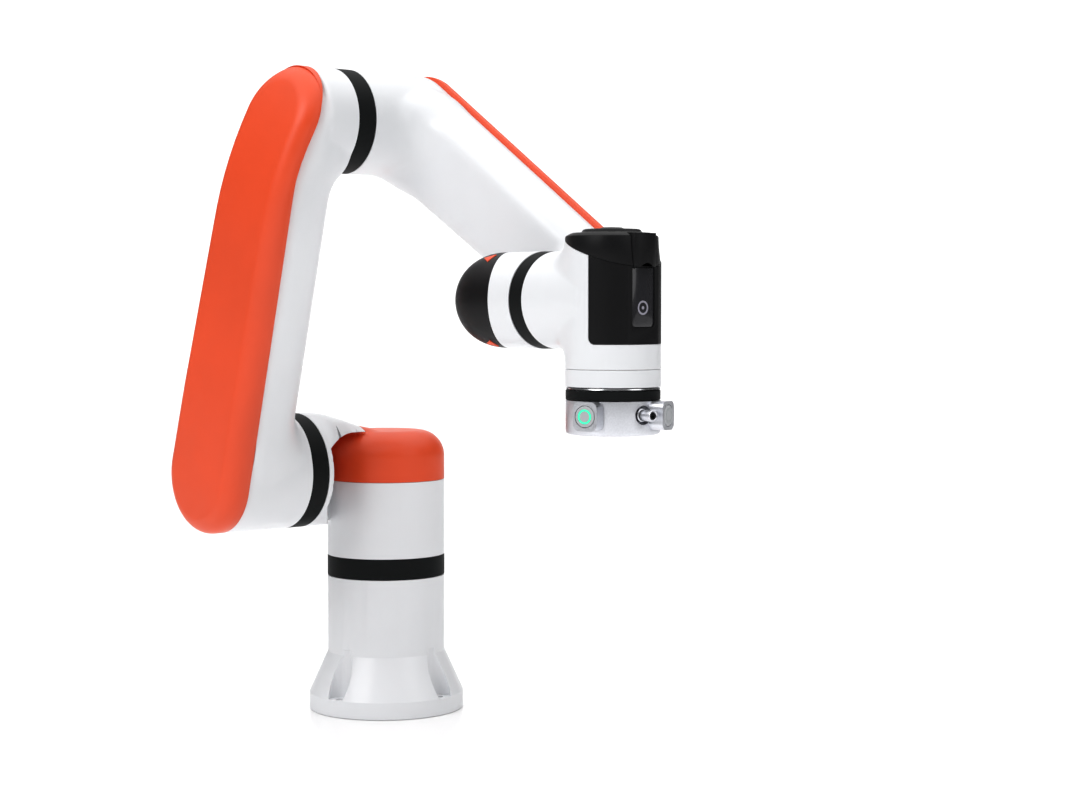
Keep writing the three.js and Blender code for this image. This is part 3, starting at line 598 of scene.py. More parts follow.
def cable_inlet():
    low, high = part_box("cable_inlet")
    middle = Vector((0, 0, (low.z + high.z) / 2))
    outer, end = (high.z - low.z) / 2, -low.x
    root, inner = 43 * MM, 7.2 * MM
    corners = [(inner, root), (outer, root)]
    ridge, valley = RIDGE_START, outer - RIDGE_DEPTH
    while ridge < end - 3 * MM:
        corners += [(outer, ridge), (valley, ridge + 0.5 * MM), (valley, ridge + 0.9 * MM)]
        ridge += RIDGE_STEP
    corners += [(outer, end - 2 * MM), (outer - 1 * MM, end), (8 * MM, end), (inner, end - 1 * MM)]
    collar = turned("cable_socket", corners, middle, -X, 96)
    keep(soften(collar, 0.15 * MM), "black", "base", "cable_inlet")
    low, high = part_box("cable_inlet_insert")
    radius, back, front = 6.6 * MM, -high.x, -low.x
    insert = turned("cable_socket_insert", [
        (0, back), (radius, back), (radius, front - 0.5 * MM), (radius - 0.5 * MM, front), (0, front)],
        middle, -X, 64)
    cut(insert, [pin_hole(middle, k) for k in range(PINS)])
    keep(shade(insert), "black", "base", "cable_inlet_insert")


def pin_hole(middle, k):
    turn = 2 * math.pi * k / PINS
    place = middle + Vector((0, math.cos(turn), math.sin(turn))) * PIN_CIRCLE
    return bore(place, -X, PIN_RADIUS, PIN_FROM, PIN_TO, 20)


def seal_ring(name, body, direction, span):
    radius, low, high = span
    low_corner, high_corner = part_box(name)
    middle = (low_corner + high_corner) / 2
    half = (high - low) / 2
    groove = 0.35 * MM
    corners = [
        (radius - WALL, -half), (radius - groove, -half), (radius, -half + groove),
        (radius, half - groove), (radius - groove, half), (radius - WALL, half),
    ]
    ring = turned(name.replace("seal_ring", "ring_band"), corners, middle, direction, 144)
    keep(shade(ring), "seal", body, name)


def seal_rings():
    seal_ring("j1_seal_ring", "base", Z, RING1)
    seal_ring("j2_seal_ring", "upper_arm", Y, RING2)
    seal_ring("j3_seal_ring", "upper_arm", Y, RING3)
    seal_ring("j4_seal_ring", "forearm", Y, RING4)
    seal_ring("j5_seal_ring", "wrist_1", X, RING5)
    seal_ring("j6_seal_ring", "wrist_2", Z, RING6)


# ---- shoulder ----
def branch_distance(points):
    """The branch to the arm: its top sinks and its front draws back as it runs in."""
    across, depth, rise = points[:, 0], -points[:, 1], points[:, 2] - SHOULDER.z
    radius = RING2[0]
    fall = radius - (SHOULDER_TOP - SHOULDER.z)
    tall = radius - fall * ease((NECK_SINK_FROM - depth) / NECK_SINK_OVER)
    wide = radius - NECK_DRAW_BACK * ease((NECK_FLANGE - depth) / NECK_DRAW_OVER)
    size = np.hypot(across / np.where(across > 0, wide, radius), rise / np.where(rise > 0, tall, radius))
    side = np.hypot(across, rise) * (1 - 1 / np.maximum(size, 0.05))
    return np.maximum(side, np.maximum(20 * MM - depth, depth - 110 * MM))


def scoop_distance(points):
    """The open space in front of the branch: the column's outline, drawn out along a tangent."""
    run = points[:, 0] * math.cos(NECK_TURN) - points[:, 1] * math.sin(NECK_TURN)
    aside = points[:, 0] * math.sin(NECK_TURN) + points[:, 1] * math.cos(NECK_TURN)
    past = SHOULDER_ROUND - COLUMN_RADIUS - aside
    above = points[:, 2] - (SHOULDER_TOP - SHOULDER_ROUND)
    outline = np.hypot(np.maximum(past, 0), np.maximum(above, 0)) - SHOULDER_ROUND
    outline = outline + np.minimum(np.maximum(past, above), 0)
    return np.maximum(outline, np.maximum(-run, -(points[:, 1] + NECK_FLANGE)))


def shoulder_distance(points):
    column = rod_distance(
        points, (0, 0, 0), (0, 0, 1), COLUMN_RADIUS, 90 * MM, SHOULDER_TOP, SHOULDER_ROUND)
    upright = lean(points, (0, 0, SHOULDER.z), (0, 1, 0), (0, 0, 1))
    branch = np.maximum(branch_distance(points), -scoop_distance(points))
    return soft_union(column, branch, 1.5 * MM + 4 * MM * np.abs(upright))


def scoop_solid(slack):
    """The scoop as a solid: an outline across the tangent, pushed out along it."""
    outer, inner = -COLUMN_RADIUS - slack, SHOULDER_ROUND - COLUMN_RADIUS
    spring, radius = SHOULDER_TOP - SHOULDER_ROUND, SHOULDER_ROUND + slack
    outline = [(FAR, CAP_EDGE - slack), (FAR, spring + radius)]
    for k in range(17):
        turn = math.pi / 2 * (1 + k / 16)
        outline.append((inner + radius * math.cos(turn), spring + radius * math.sin(turn)))
    outline.append((outer, CAP_EDGE - slack))
    aside = Vector((math.sin(NECK_TURN), math.cos(NECK_TURN), 0))
    heading = Vector((math.cos(NECK_TURN), -math.sin(NECK_TURN), 0))
    matrix = Matrix((aside, Z, heading)).transposed().to_4x4()
    matrix.translation = heading * (-2 * slack)
    solid = prism("scoop", outline, FAR, matrix)
    flange = box("flange_share", (-2 * FAR, -2 * FAR, -FAR), (2 * FAR, -NECK_FLANGE - slack, FAR))
    return cut(solid, [flange])


def cap_share(slack):
    """The shoulder cap's share of the casting."""
    share = box("cap_share", (-FAR, CAP_FRONT - slack, CAP_EDGE - slack), (FAR, FAR, FAR))
    return cut(share, [scoop_solid(slack)], "UNION")


def shoulder():
    form = field_mesh("shoulder_casting", shoulder_distance, *SHOULDER_SPACE, 1.6 * MM)
    cut(form, [
        box("under", (-FAR, -FAR, -FAR), (FAR, FAR, RING1[2] + GAP)),
        box("front", (-FAR, -FAR, 0.1), (FAR, RING2[2] + GAP, FAR)),
    ])
    cap = copy_of(form, "shoulder_cover")
    cut(form, [
        cap_share(GAP),
        bore(Vector(), Z, COLUMN_RADIUS - WALL, 100 * MM, 165 * MM),
        bore(Vector((0, 0, SHOULDER.z)), -Y, RING2[0] - WALL, 65 * MM, 120 * MM),
    ])
    cut(cap, [cap_share(0)], "INTERSECT")
    keep(soften(form), "white", "shoulder", "shoulder_housing")
    keep(soften(cap, 0.5 * MM), "orange", "shoulder", "shoulder_cap")


# ---- upper arm ----
def join_hubs(points, body, hubs, places, along, blends):
    """Joins a hub to each end of a link, with fillets only where the link runs off from the hub."""
    joined = body
    for hub, place, way, blend in zip(hubs, places, (along, -along), blends):
        facing = ease((lean(points, place, (0, 1, 0), way) - 0.1) / 0.6)
        joined = soft_union(joined, hub, blend * facing)
    return joined


def upper_ring(inset, y_at):
    outline = link_outline(UPPER_LENGTH, UPPER_LOW, UPPER_HIGH, inset)
    return link_ring(Vector((SHOULDER.x, 0, SHOULDER.z)), UPPER_ALONG, outline, y_at)


def upper_distance(points):
    place = (SHOULDER.x, 0, SHOULDER.z)
    body = link_distance(
        points, place, UPPER_ALONG, UPPER_LENGTH, (UPPER_LOW, UPPER_HIGH),
        lambda run: -upper_face(run) + 2 * MM, lambda run: -UPPER_BACK + 0 * run, UPPER_BACK_ROUND * 0.9)
    low = rod_distance(points, place, (0, -1, 0), RING2[0], -RING2[1] - 14 * MM, 0.155, 4 * MM)
    elbow = (ELBOW.x, 0, ELBOW.z)
    high = rod_distance(points, elbow, (0, -1, 0), RING3[0], -RING3[1] - 14 * MM, 0.14, 4 * MM)
    return join_hubs(points, body, (low, high), (place, elbow), UPPER_ALONG, (24 * MM, 24 * MM))


def upper_arm():
    form = field_mesh("upper_arm_casting", upper_distance, *UPPER_SPACE)
    outside = skin("seam_cut", [
        upper_ring(-9 * MM, lambda s: -upper_seam(s)), upper_ring(-9 * MM, lambda s: -0.25)])
    cut(form, [
        outside,
        low_trim(),
        high_trim(),
        bore(Vector((SHOULDER.x, 0, SHOULDER.z)), -Y, RING2[0] - WALL, 80 * MM, 118 * MM),
        bore(Vector((ELBOW.x, 0, ELBOW.z)), -Y, RING3[0] - WALL, 90 * MM, 142 * MM),
    ])
    keep(soften(form), "white", "upper_arm", "upper_arm")
    rings = cover_rings(
        upper_ring, lambda s: upper_seam(s) + GAP, lambda s: upper_face(s), UPPER_ROUND)
    rings = [[Vector((p.x, -p.y, p.z)) for p in ring] for ring in rings]
    cover = skin("upper_arm_shell", rings)
    keep(shade(cover, 50), "orange", "upper_arm", "upper_arm_cover")


def low_trim():
    """Trims the lower tube of the upper arm square at its seal ring."""
    return bore(Vector((SHOULDER.x, 0, SHOULDER.z)), -Y, 60 * MM, 0.0, -RING2[1] + GAP)


def high_trim():
    return bore(Vector((ELBOW.x, 0, ELBOW.z)), -Y, 55 * MM, 0.0, -RING3[1] + GAP)


# ---- forearm ----
def fore_ring(inset, y_at):
    outline = link_outline(FORE_LENGTH, FORE_LOW, FORE_HIGH, inset)
    return link_ring(Vector((ELBOW.x, 0, ELBOW.z)), FORE_ALONG, outline, y_at)


def fore_distance(points):
    elbow, wrist = (ELBOW.x, 0, ELBOW.z), (WRIST.x, 0, WRIST.z)
    body = link_distance(
        points, elbow, FORE_ALONG, FORE_LENGTH, (FORE_LOW, FORE_HIGH),
        lambda run: fore_middle(run) - FORE_THICK / 2, lambda run: fore_seam(run) + 6 * MM, FORE_ROUND)
    near = rod_distance(points, elbow, (0, 1, 0), RING3[0], RING3[1] - 10 * MM, -35 * MM, 4 * MM)
    end = rod_distance(points, wrist, (0, 1, 0), RING4[0], RING4[1] - 10 * MM, -14 * MM, 4 * MM)
    return join_hubs(points, body, (near, end), (elbow, wrist), FORE_ALONG, (26 * MM, 14 * MM))


def forearm():
    form = field_mesh("forearm_casting", fore_distance, *FORE_SPACE)
    outside = skin("seam_cut", [fore_ring(-9 * MM, fore_seam), fore_ring(-9 * MM, lambda s: 0.1)])
    elbow, wrist = Vector((ELBOW.x, 0, ELBOW.z)), Vector((WRIST.x, 0, WRIST.z))
    cut(form, [
        outside,
        bore(elbow, Y, 55 * MM, -0.2, RING3[2] + GAP),
        bore(wrist, Y, 42 * MM, -0.2, RING4[2] + GAP),
        bore(elbow, Y, RING3[0] - WALL, -120 * MM, -70 * MM),
        bore(wrist, Y, RING4[0] - WALL, -120 * MM, -20 * MM),
    ])
    keep(soften(form), "white", "forearm", "forearm")
    rings = cover_rings(
        fore_ring, lambda s: fore_seam(s) + GAP, lambda s: fore_middle(s) + FORE_THICK / 2,
        FORE_COVER - 1.2 * MM)
    keep(shade(skin("forearm_shell", rings), 50), "orange", "forearm", "forearm_cover")


# ---- wrist 1 ----
def dome_distance(points):
    """A tube along X whose back end closes in a flattened dome."""
    offset = points - np.array((WRIST.x, WRIST_Y, WRIST_Z))
    radial = np.hypot(offset[:, 1], offset[:, 2])
    back = np.maximum(-offset[:, 0] - DOME_START, 0) / (DOME_END - DOME_START)
    bulge = np.maximum(radial / WRIST1_RADIUS, 1e-6)
    power = 2.35
    round_end = ((back ** power + bulge ** power) ** (1 / power) - 1) * WRIST1_RADIUS
    front = offset[:, 0] - (RING5[1] + 8 * MM - WRIST.x)
    return np.maximum(round_end, front)


def wrist1_distance(points):
    place = (WRIST.x, 0, WRIST.z)
    side = rod_distance(points, place, (0, -1, 0), RING4[0], -RING4[1] - 10 * MM, -WRIST_Y, 10 * MM)
    level = np.abs(lean(points, place, (0, 1, 0), (1, 0, 0)))
    return soft_union(dome_distance(points), side, 8 * MM * level)


def slanted_block(slack):
    """Everything behind the leaning seam of the wrist's end cap."""
    block = box("behind", (-FAR, -FAR, -FAR), (slack, FAR, FAR))
    turn = Matrix.Rotation(math.atan(CAP_SKEW), 4, "Z")
    block.data.transform(Matrix.Translation((WRIST.x + CAP_CENTRE, WRIST_Y, WRIST_Z)) @ turn)
    branch = bore(Vector((WRIST.x, 0, WRIST.z)), -Y, RING4[0] + (0 if slack > 0 else GAP), 0.0, -WRIST_Y)
    return cut(block, [branch])


def wrist1():
    form = field_mesh("wrist1_casting", wrist1_distance, *WRIST1_SPACE, 1.5 * MM)
    cap = copy_of(form, "wrist1_end_cap")
    seat = Vector((WRIST.x, 0, WRIST.z))
    trims = [
        bore(seat, -Y, 45 * MM, 0.0, -RING4[1] + GAP),
        box("front", (RING5[1] - GAP, -FAR, 0), (FAR, FAR, FAR)),
        bore(seat, -Y, RING4[0] - WALL, 50 * MM, 74 * MM),
        bore(Vector((0, WRIST_Y, WRIST_Z)), X, RING5[0] - WALL, WRIST.x + 4 * MM, 400 * MM),
    ]
    cut(form, trims + [slanted_block(GAP)])
    cut(cap, [slanted_block(0)], "INTERSECT")
    cut(cap, [bore(seat, -Y, 45 * MM, 0.0, -RING4[1] + GAP)])
    lid_groove(cap)
    for side, node in ((1, "wrist1_clip_upper"), (-1, "wrist1_clip_lower")):
        clip(side, node)
    keep(soften(form), "white", "wrist_1", "wrist1_housing")
    keep(soften(cap, 0.35 * MM), "black", "wrist_1", "wrist1_cap")


LID_EDGE, GROOVE_WIDTH, GROOVE_FLOOR, LID_LAP = 24.6 * MM, 1.2 * MM, 26.5 * MM, 0.4 * MM


def lid_groove(cap):
    """A shallow groove that parts the dome's round lid from its rim."""
    place, outer = Vector((WRIST.x, WRIST_Y, WRIST_Z)), LID_EDGE + GROOVE_WIDTH
    groove = [(LID_EDGE, 20 * MM), (outer, 20 * MM), (outer, 60 * MM), (LID_EDGE, 60 * MM)]
    cut(cap, [turned("groove", groove, place, -X, 96)])
    cut(cap, [bore(place, -X, outer + LID_LAP, 5 * MM, GROOVE_FLOOR, 96)], "UNION")


def clip(side, node):
    low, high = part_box(node)
    middle = (low + high) / 2
    centre = Vector((middle.x, WRIST_Y, WRIST_Z))
    outward = (middle - centre).normalized()
    size = 5.6 * MM
    corners = [math.pi + k * 2 * math.pi / 3 for k in range(3)]
    outline = [(size * math.cos(turn), size * math.sin(turn)) for turn in corners]
    forward = X
    sideways = outward.cross(forward)
    matrix = Matrix((forward, sideways, outward)).transposed().to_4x4()
    matrix.translation = centre + outward * (WRIST1_RADIUS - 3 * MM)
    wedge = prism(f"seam_clip_{'upper' if side > 0 else 'lower'}", outline, 3.6 * MM, matrix)
    keep(soften(wedge, 0.5 * MM, 3, 30), "orange", "wrist_1", node)


# ---- wrist 2 ----
def barrel_distance(points):
    return rod_distance(points, (TOOL.x, WRIST_Y, WRIST_Z), (0, 0, 1), BARREL_RADIUS,
                        COLLAR_TOP - 12 * MM, 43.7 * MM, 3.2 * MM)


def wrist2_distance(points):
    low, high = RING5[1] - 4 * MM, TOOL.x + 4 * MM
    neck = rod_distance(points, (0, WRIST_Y, WRIST_Z), (1, 0, 0), RING5[0], low, high, 6 * MM)
    upright = np.abs(lean(points, (0, WRIST_Y, WRIST_Z), (1, 0, 0), (0, 0, 1)))
    return soft_union(barrel_distance(points), neck, 15 * MM * ease((upright - 0.3) / 0.6))


def visor_block(slack):
    block = box("above", (-FAR, -FAR, -slack), (FAR, FAR, FAR))
    turn = Matrix.Rotation(math.atan(VISOR_SLOPE), 4, "Y")
    block.data.transform(Matrix.Translation((TOOL.x, WRIST_Y, WRIST_Z + VISOR_MIDDLE)) @ turn)
    return block


def arc(centre, radius, start, steps):
    """Points through the next quarter turn from a starting angle."""
    turns = [start + k / steps * math.pi / 2 for k in range(steps + 1)]
    return [(centre[0] + radius * math.cos(turn), centre[1] + radius * math.sin(turn)) for turn in turns]


def cap_block(slack):
    """The end cap's share of the barrel: square-sided, with a rounded lower corner."""
    reach, radius = 80 * MM, 4.2 * MM
    left, bottom = CAP_SIDE - slack, CAP_BOTTOM - slack
    outline = [(reach, bottom), (reach, reach), (left, reach)]
    outline += arc((left + radius, bottom + radius), radius, math.pi, 8)
    place = Matrix.Translation((TOOL.x, WRIST_Y + 60 * MM, WRIST_Z))
    return prism("cap_share", outline, 120 * MM, place @ Matrix.Rotation(math.pi / 2, 4, "X"))


def flat_block():
    return box("flat", (TOOL.x + BARREL_FLAT, -FAR, 0), (FAR, FAR, FAR))


def wrist2():
    form = field_mesh("wrist2_casting", wrist2_distance, *WRIST2_SPACE, 1.5 * MM)
    cap = copy_of(form, "wrist2_end_cap")
    axis = Vector((TOOL.x, WRIST_Y, WRIST_Z))
    under = box("under", (-FAR, -FAR, -FAR), (FAR, FAR, WRIST_Z + COLLAR_TOP + GAP))
    cut(form, [
        under,
        box("back", (-FAR, -FAR, 0), (RING5[2] + GAP, FAR, FAR)),
        cap_block(GAP),
        visor_block(GAP),
        bore(axis, Z, BARREL_RADIUS - WALL, -80 * MM, -15 * MM),
        bore(Vector((0, WRIST_Y, WRIST_Z)), X, RING5[0] - WALL, 300 * MM, 345 * MM),
    ])
    cut(cap, [cap_block(0)], "INTERSECT")
    cut(cap, [visor_block(GAP), flat_block(), panel_solid("recess", 0.25 * MM, 3 * MM)])
    keep(soften(form), "white", "wrist_2", "wrist2_housing")
    keep(soften(cap, 0.5 * MM), "black", "wrist_2", "wrist2_cap")
    visor()
    hood()
    panel()
    collar_and_rim()


LID_PROFILE = (
    (0, 15), (31.8, 15), (31.7, 34), (31.4, 40.6), (31.0, 41.5), (28.0, 43.1), (26.6, 43.6),
    (21.4, 43.9), (20.6, 44.3), (19.8, 45.6), (18.6, 46.1), (9.4, 46.3), (8.6, 46.7), (7.4, 47.2),
    (0, 47.3))
LID_INSET, LID_NARROW = 1.9 * MM, Vector((0.84, 0.54, 0))


def visor():
    """The peaked lid over the barrel's top, with stepped discs and a slanting lower lip."""
    axis = Vector((TOOL.x, WRIST_Y, WRIST_Z))
    lid = turned("wrist2_peaked_lid", [(r * MM, h * MM) for r, h in LID_PROFILE], axis, Z, 144)
    for vertex in lid.data.vertices:
        offset = vertex.co - axis
        level = Vector((offset.x, offset.y, 0))
        way = level.normalized()
        inset = LID_INSET * ease(way.dot(LID_NARROW) * 1.4) * ease((offset.z - 18 * MM) / (14 * MM))
        vertex.co -= way * min(inset, level.length)
    cut(lid, [visor_block(0)], "INTERSECT")
    cut(lid, [hood_solid("hood_space", GAP)])
    keep(soften(lid, 0.45 * MM, 2, 30), "black", "wrist_2", "wrist2_visor")


def hood_solid(name, slack):
    low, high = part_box("wrist2_hood")
    half = (high.y - low.y) / 2 + slack
    nose = high.x - TOOL.x + 1.1 * MM + slack
    outline = [(20 * MM, -half), (nose - 4 * MM, -half)]
    for k in range(1, 12):
        turn = -math.pi / 2 + k / 12 * math.pi
        ahead, aside = math.cos(turn), math.sin(turn)
        outline.append((nose - 3 * MM + 3 * MM * ahead, half * aside * (0.62 + 0.38 * abs(aside))))
    outline += [(nose - 4 * MM, half), (20 * MM, half)]
    height = high.z - low.z + 2 * slack
    return prism(name, outline, height, Matrix.Translation((TOOL.x, WRIST_Y, low.z - slack)))


def hood():
    piece = hood_solid("wrist2_hood_block", 0)
    low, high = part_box("wrist2_hood")
    scoop = turned("scoop", [(0, 0), (7.4 * MM, 0), (5.5 * MM, 2.6 * MM), (0, 3.2 * MM)],
                   Vector((high.x - 4.5 * MM, WRIST_Y, low.z - 0.1 * MM)), Z, 48)
    cut(piece, [scoop])
    keep(soften(piece, 0.9 * MM, 3, 35), "black", "wrist_2", "wrist2_hood")


def panel_solid(name, slack, depth):
    low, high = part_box("wrist2_panel")
    half = (high.y - low.y) / 2 + slack
    bottom, top = low.z - WRIST_Z - slack, high.z - WRIST_Z + slack
    radius = 3.4 * MM
    centre = bottom + radius
    outline = [(-half, top), (-half, centre)]
    for k in range(1, 8):
        turn = math.pi + k / 8 * math.pi / 2
        outline.append((radius - half + radius * math.cos(turn), centre + radius * math.sin(turn)))
    for k in range(1, 8):
        turn = 1.5 * math.pi + k / 8 * math.pi / 2
        outline.append((half - radius + radius * math.cos(turn), centre + radius * math.sin(turn)))
    outline += [(half, centre), (half, top)]
    matrix = Matrix(((0, 0, 1, high.x - 1.4 * MM), (1, 0, 0, WRIST_Y), (0, 1, 0, WRIST_Z), (0, 0, 0, 1)))
    return prism(name, outline, depth, matrix)


def panel():
    piece = panel_solid("wrist2_gloss_panel", 0, 1.2 * MM)
    keep(soften(piece, 0.25 * MM), "gloss", "wrist_2", "wrist2_panel")
    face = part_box("wrist2_panel")[1].x - 0.2 * MM
    place = Vector((face, WRIST_Y, WRIST_Z - 5 * MM))
    mark = turned("panel_ring_mark", [(r * MM, h * MM) for r, h in (
        (3.4, -0.1), (4.6, -0.1), (4.6, 0.12), (3.4, 0.12))], place, X, 48)
    keep(shade(mark), "orange", "wrist_2", look="mark")
    dot = turned("panel_dot_mark", [(r * MM, h * MM) for r, h in (
        (0, -0.1), (1.1, -0.1), (1.1, 0.12), (0, 0.12))], place, X, 32)
    keep(shade(dot), "orange", "wrist_2", look="mark")


def collar_and_rim():
    axis = Vector((TOOL.x, WRIST_Y, WRIST_Z))
    radius, edge = BARREL_RADIUS, 0.35 * MM
    collar = turned("wrist2_end_collar", [
        (radius - WALL, COLLAR_BOTTOM), (radius - edge, COLLAR_BOTTOM), (radius, COLLAR_BOTTOM + edge),
        (radius, COLLAR_TOP - edge), (radius - edge, COLLAR_TOP), (radius - WALL, COLLAR_TOP)],
        axis, Z, 144)
    keep(shade(collar), "white", "wrist_2", "wrist2_collar")
    top = COLLAR_BOTTOM - GAP
    radius = FLANGE_RADIUS
    rim = turned("wrist2_bright_rim", [
        (radius - WALL, RIM_BOTTOM), (radius - edge, RIM_BOTTOM), (radius + 0.2 * MM, RIM_BOTTOM + edge),
        (radius, top - edge), (radius - WALL, top)], axis, Z, 144)
    keep(shade(rim), "trim", "wrist_2", "wrist2_rim")


# ---- tool flange ----
def outward(turn):
    return Vector((math.cos(turn), math.sin(turn), 0))


def boss_matrix(turn, height, reach):
    """Local X runs sideways, local Y up and local Z outwards."""
    out = outward(turn)
    side = Z.cross(out)
    matrix = Matrix((side, Z, out)).transposed().to_4x4()
    matrix.translation = Vector((TOOL.x, WRIST_Y, WRIST_Z + height)) + out * reach
    return matrix


PILOT_RADIUS, PILOT_DEPTH, TAP_CIRCLE = 15.75 * MM, 6 * MM, 25 * MM
TAP_RADIUS, TAP_DEPTH, DOWEL_RADIUS = 2.5 * MM, 9 * MM, 3 * MM


def tool_flange():
    axis = Vector((TOOL.x, WRIST_Y, WRIST_Z))
    radius, edge, low = FLANGE_RADIUS, 2.6 * MM, FLANGE_BOTTOM
    under, pilot = low - PAST, low + PILOT_DEPTH
    body = turned("flange_disc", [
        (0, low), (radius - edge, low), (radius - 0.8 * MM, low + 0.7 * MM),
        (radius, low + edge), (radius, FLANGE_TOP), (0, FLANGE_TOP)], axis, Z, 144)
    bosses = []
    for turn in BOSS_ANGLES:
        boss = prism("boss", round_rectangle(8.5 * MM, 9.3 * MM, 4.4 * MM), BOSS_REACH - 22 * MM,
                     boss_matrix(turn, BOSS_Z, 22 * MM))
        bosses.append(boss)
    cut(body, bosses, "UNION")
    port = Vector((TOOL.x, WRIST_Y, WRIST_Z + PORT_Z))
    cutters = [bore(port, outward(PORT_ANGLE), 6.2 * MM, 22 * MM, 34 * MM)]
    for turn in BOSS_ANGLES:
        place = Vector((TOOL.x, WRIST_Y, WRIST_Z + BOSS_Z))
        cutters.append(bore(place, outward(turn), 7.2 * MM, 36 * MM, 50 * MM))
    cutters.append(bore(axis, Z, PILOT_RADIUS, under, pilot))
    for k in range(4):
        place = axis + outward(math.pi / 4 + k * math.pi / 2) * TAP_CIRCLE
        cutters.append(bore(place, Z, TAP_RADIUS, under, low + TAP_DEPTH))
    cutters.append(bore(axis + outward(0) * TAP_CIRCLE, Z, DOWEL_RADIUS, under, pilot))
    cut(body, cutters)
    keep(soften(body, 0.6 * MM, 3, 30), "aluminium", "tool_flange", "tool_flange")
    for k, turn in enumerate(BOSS_ANGLES):
        button(k + 1, turn)
    port_barrel(port)


def button(number, turn):
    place = Vector((TOOL.x, WRIST_Y, WRIST_Z + BOSS_Z))
    out = outward(turn)
    top = BOSS_REACH + 0.5 * MM
    base, radius, groove = 37.2 * MM, 6.8 * MM, top - 0.8 * MM
    cap = turned(f"button_cap_{number}", [
        (0, base), (radius, base), (radius, top - 0.5 * MM), (6.2 * MM, top), (4.8 * MM, top),
        (4.8 * MM, groove), (3.4 * MM, groove), (3.4 * MM, top), (0, top)], place, out, 96)
    keep(shade(cap), "button", f"button_{number}", f"flange_button_{number}")
    inner, outer = 3.5 * MM, 4.7 * MM
    low, brow, crest = top - 0.7 * MM, top + 0.05 * MM, top + 0.15 * MM
    light = turned(f"button_ring_light_{number}", [
        (inner, low), (outer, low), (outer, brow), (4.5 * MM, crest), (3.7 * MM, crest), (inner, brow)],
        place, out, 64)
    look = "light" if number == 1 else "unlit"
    keep(shade(light), "light", f"button_{number}", f"button_light_{number}", look=look)


def port_barrel(port):
    out = outward(PORT_ANGLE)
    barrel = turned("port_sleeve", [(r * MM, h * MM) for r, h in (
        (2.5, 22.4), (4.3, 22.4), (4.3, 30), (3.7, 30.4), (3.7, 40.3), (3.3, 41), (2.9, 41),
        (2.5, 40.6))], port, out, 72)
    keep(shade(barrel), "aluminium", "tool_flange", "port_barrel")
    insert = turned("port_core", [(r * MM, h * MM) for r, h in (
        (0, 22.4), (2.4, 22.4), (2.4, 35.6), (2, 36), (0, 36))], port, out, 48)
    keep(shade(insert), "black", "tool_flange", "port_insert", look="dark")


# ---- stage ----
CAMERA_DISTANCE, CAMERA_HEIGHT = 1.7321, 0.3338
CAMERA_AZIMUTH, CAMERA_TURN, CAMERA_TILT = math.radians(36.91), math.radians(4.2), math.radians(2.49)
FOCAL_LENGTH, SENSOR = 70.13, 36


def add_camera():
    data = bpy.data.cameras.new("camera")
    data.lens, data.sensor_width, data.sensor_fit = FOCAL_LENGTH, SENSOR, "HORIZONTAL"
    data.clip_start, data.clip_end = 0.05, 60
    camera = bpy.data.objects.new("camera", data)
    bpy.context.scene.collection.objects.link(camera)
    camera.location = outward(-CAMERA_AZIMUTH) * CAMERA_DISTANCE + Z * CAMERA_HEIGHT
    heading = math.pi / 2 - CAMERA_AZIMUTH - CAMERA_TURN
    camera.rotation_euler = (math.pi / 2 - CAMERA_TILT, 0, heading)
    bpy.context.scene.camera = camera


def area_light(name, place, target, size, power, colour=(1, 1, 1)):
    data = bpy.data.lights.new(name, "AREA")
    data.shape, data.size, data.energy, data.color = "DISK", size, power, colour
    lamp = bpy.data.objects.new(name, data)
    bpy.context.scene.collection.objects.link(lamp)
    lamp.location = place
    lamp.rotation_euler = (Vector(target) - Vector(place)).to_track_quat("-Z", "Y").to_euler()


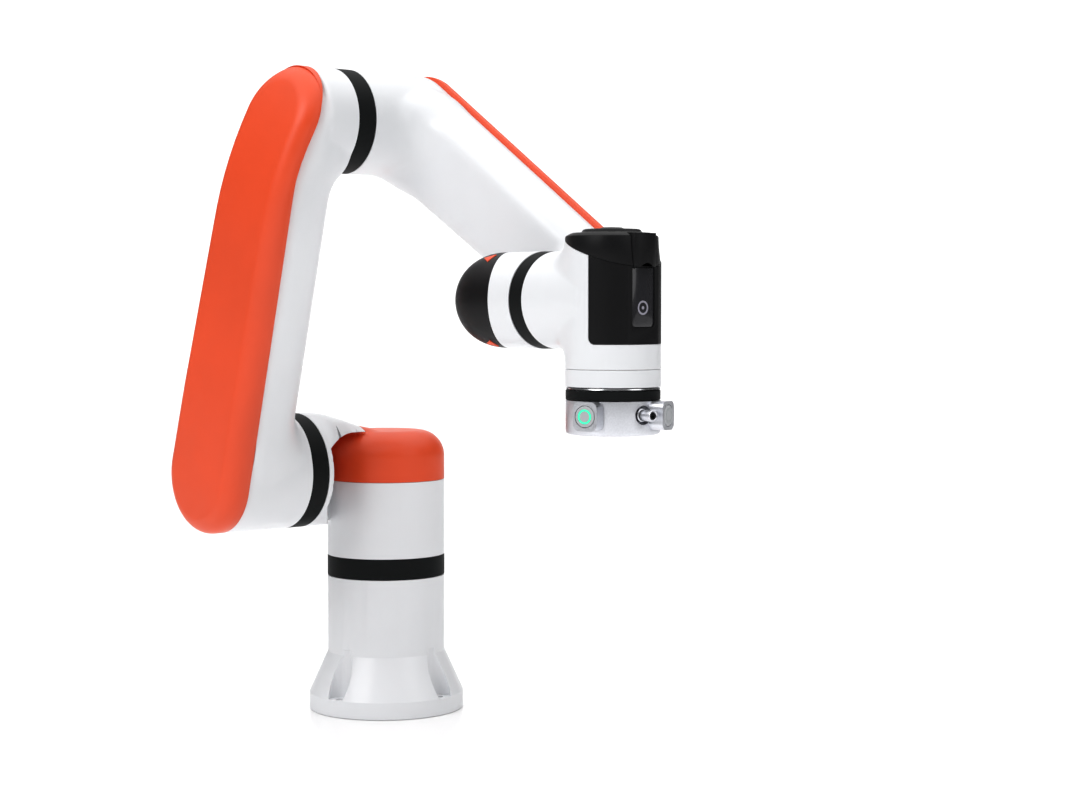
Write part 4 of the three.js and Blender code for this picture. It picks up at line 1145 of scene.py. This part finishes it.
def direction_share(tree, direction, start, end):
    """How far a sky direction points along a given one, from 0 at start to 1 at end."""
    nodes, links = tree.nodes, tree.links
    place = nodes.new("ShaderNodeTexCoord")
    along = nodes.new("ShaderNodeVectorMath")
    along.operation = "DOT_PRODUCT"
    along.inputs[1].default_value = direction
    spread = nodes.new("ShaderNodeMapRange")
    spread.interpolation_type = "SMOOTHSTEP"
    spread.inputs["From Min"].default_value = start
    spread.inputs["From Max"].default_value = end
    links.new(place.outputs["Generated"], along.inputs[0])
    links.new(along.outputs["Value"], spread.inputs["Value"])
    return spread


SKY_DIM, SKY_BACKDROP, SKY_ZENITH = 0.1, 1.03, 1.35
EXPOSURE, GAMMA = 0.27, 0.8
BACKDROP_WAY = Vector((-0.7526, 0.657, 0.04)).normalized()


def add_world():
    """A dim room with a white backdrop behind the arm and a broad soft box overhead."""
    world = bpy.data.worlds.new("studio")
    world.use_nodes = True
    tree = world.node_tree
    background = tree.nodes["Background"]
    backdrop = direction_share(tree, BACKDROP_WAY, 0.86, 0.945)
    backdrop.inputs["To Min"].default_value = SKY_DIM
    backdrop.inputs["To Max"].default_value = SKY_BACKDROP
    zenith = direction_share(tree, Z, 0.35, 0.8)
    zenith.inputs["To Max"].default_value = SKY_ZENITH
    brighter = tree.nodes.new("ShaderNodeMath")
    brighter.operation = "MAXIMUM"
    tree.links.new(backdrop.outputs["Result"], brighter.inputs[0])
    tree.links.new(zenith.outputs["Result"], brighter.inputs[1])
    tree.links.new(brighter.outputs["Value"], background.inputs["Strength"])
    background.inputs["Color"].default_value = (1, 1, 1, 1)
    bpy.context.scene.world = world


def add_lights():
    middle = (0.15, -0.05, 0.28)
    area_light("key", (0.4, -2.6, 1.9), middle, 1.8, 27)
    area_light("right", (2.6, 0.5, 1.2), middle, 1.4, 6)
    area_light("top", (0.2, 0.3, 2.8), middle, 1.6, 3)


def add_floor():
    floor = turned("floor", [(0, -0.004), (9, -0.004), (9, -0.0002), (0, -0.0002)], Vector(), Z, 96)
    surface = material("pale_floor", (0.97, 0.97, 0.97), 0.22)
    vary_roughness(surface, noise(surface, 3), 0.2, 0.26)
    floor.data.materials.append(surface)


def main():
    add_camera()
    add_world()
    add_lights()
    add_floor()
    dress_inner_parts()
    base_foot()
    cable_inlet()
    seal_rings()
    shoulder()
    upper_arm()
    forearm()
    wrist1()
    wrist2()
    tool_flange()
    view = bpy.context.scene.view_settings
    view.view_transform, view.exposure, view.gamma = "Standard", EXPOSURE, GAMMA


main()
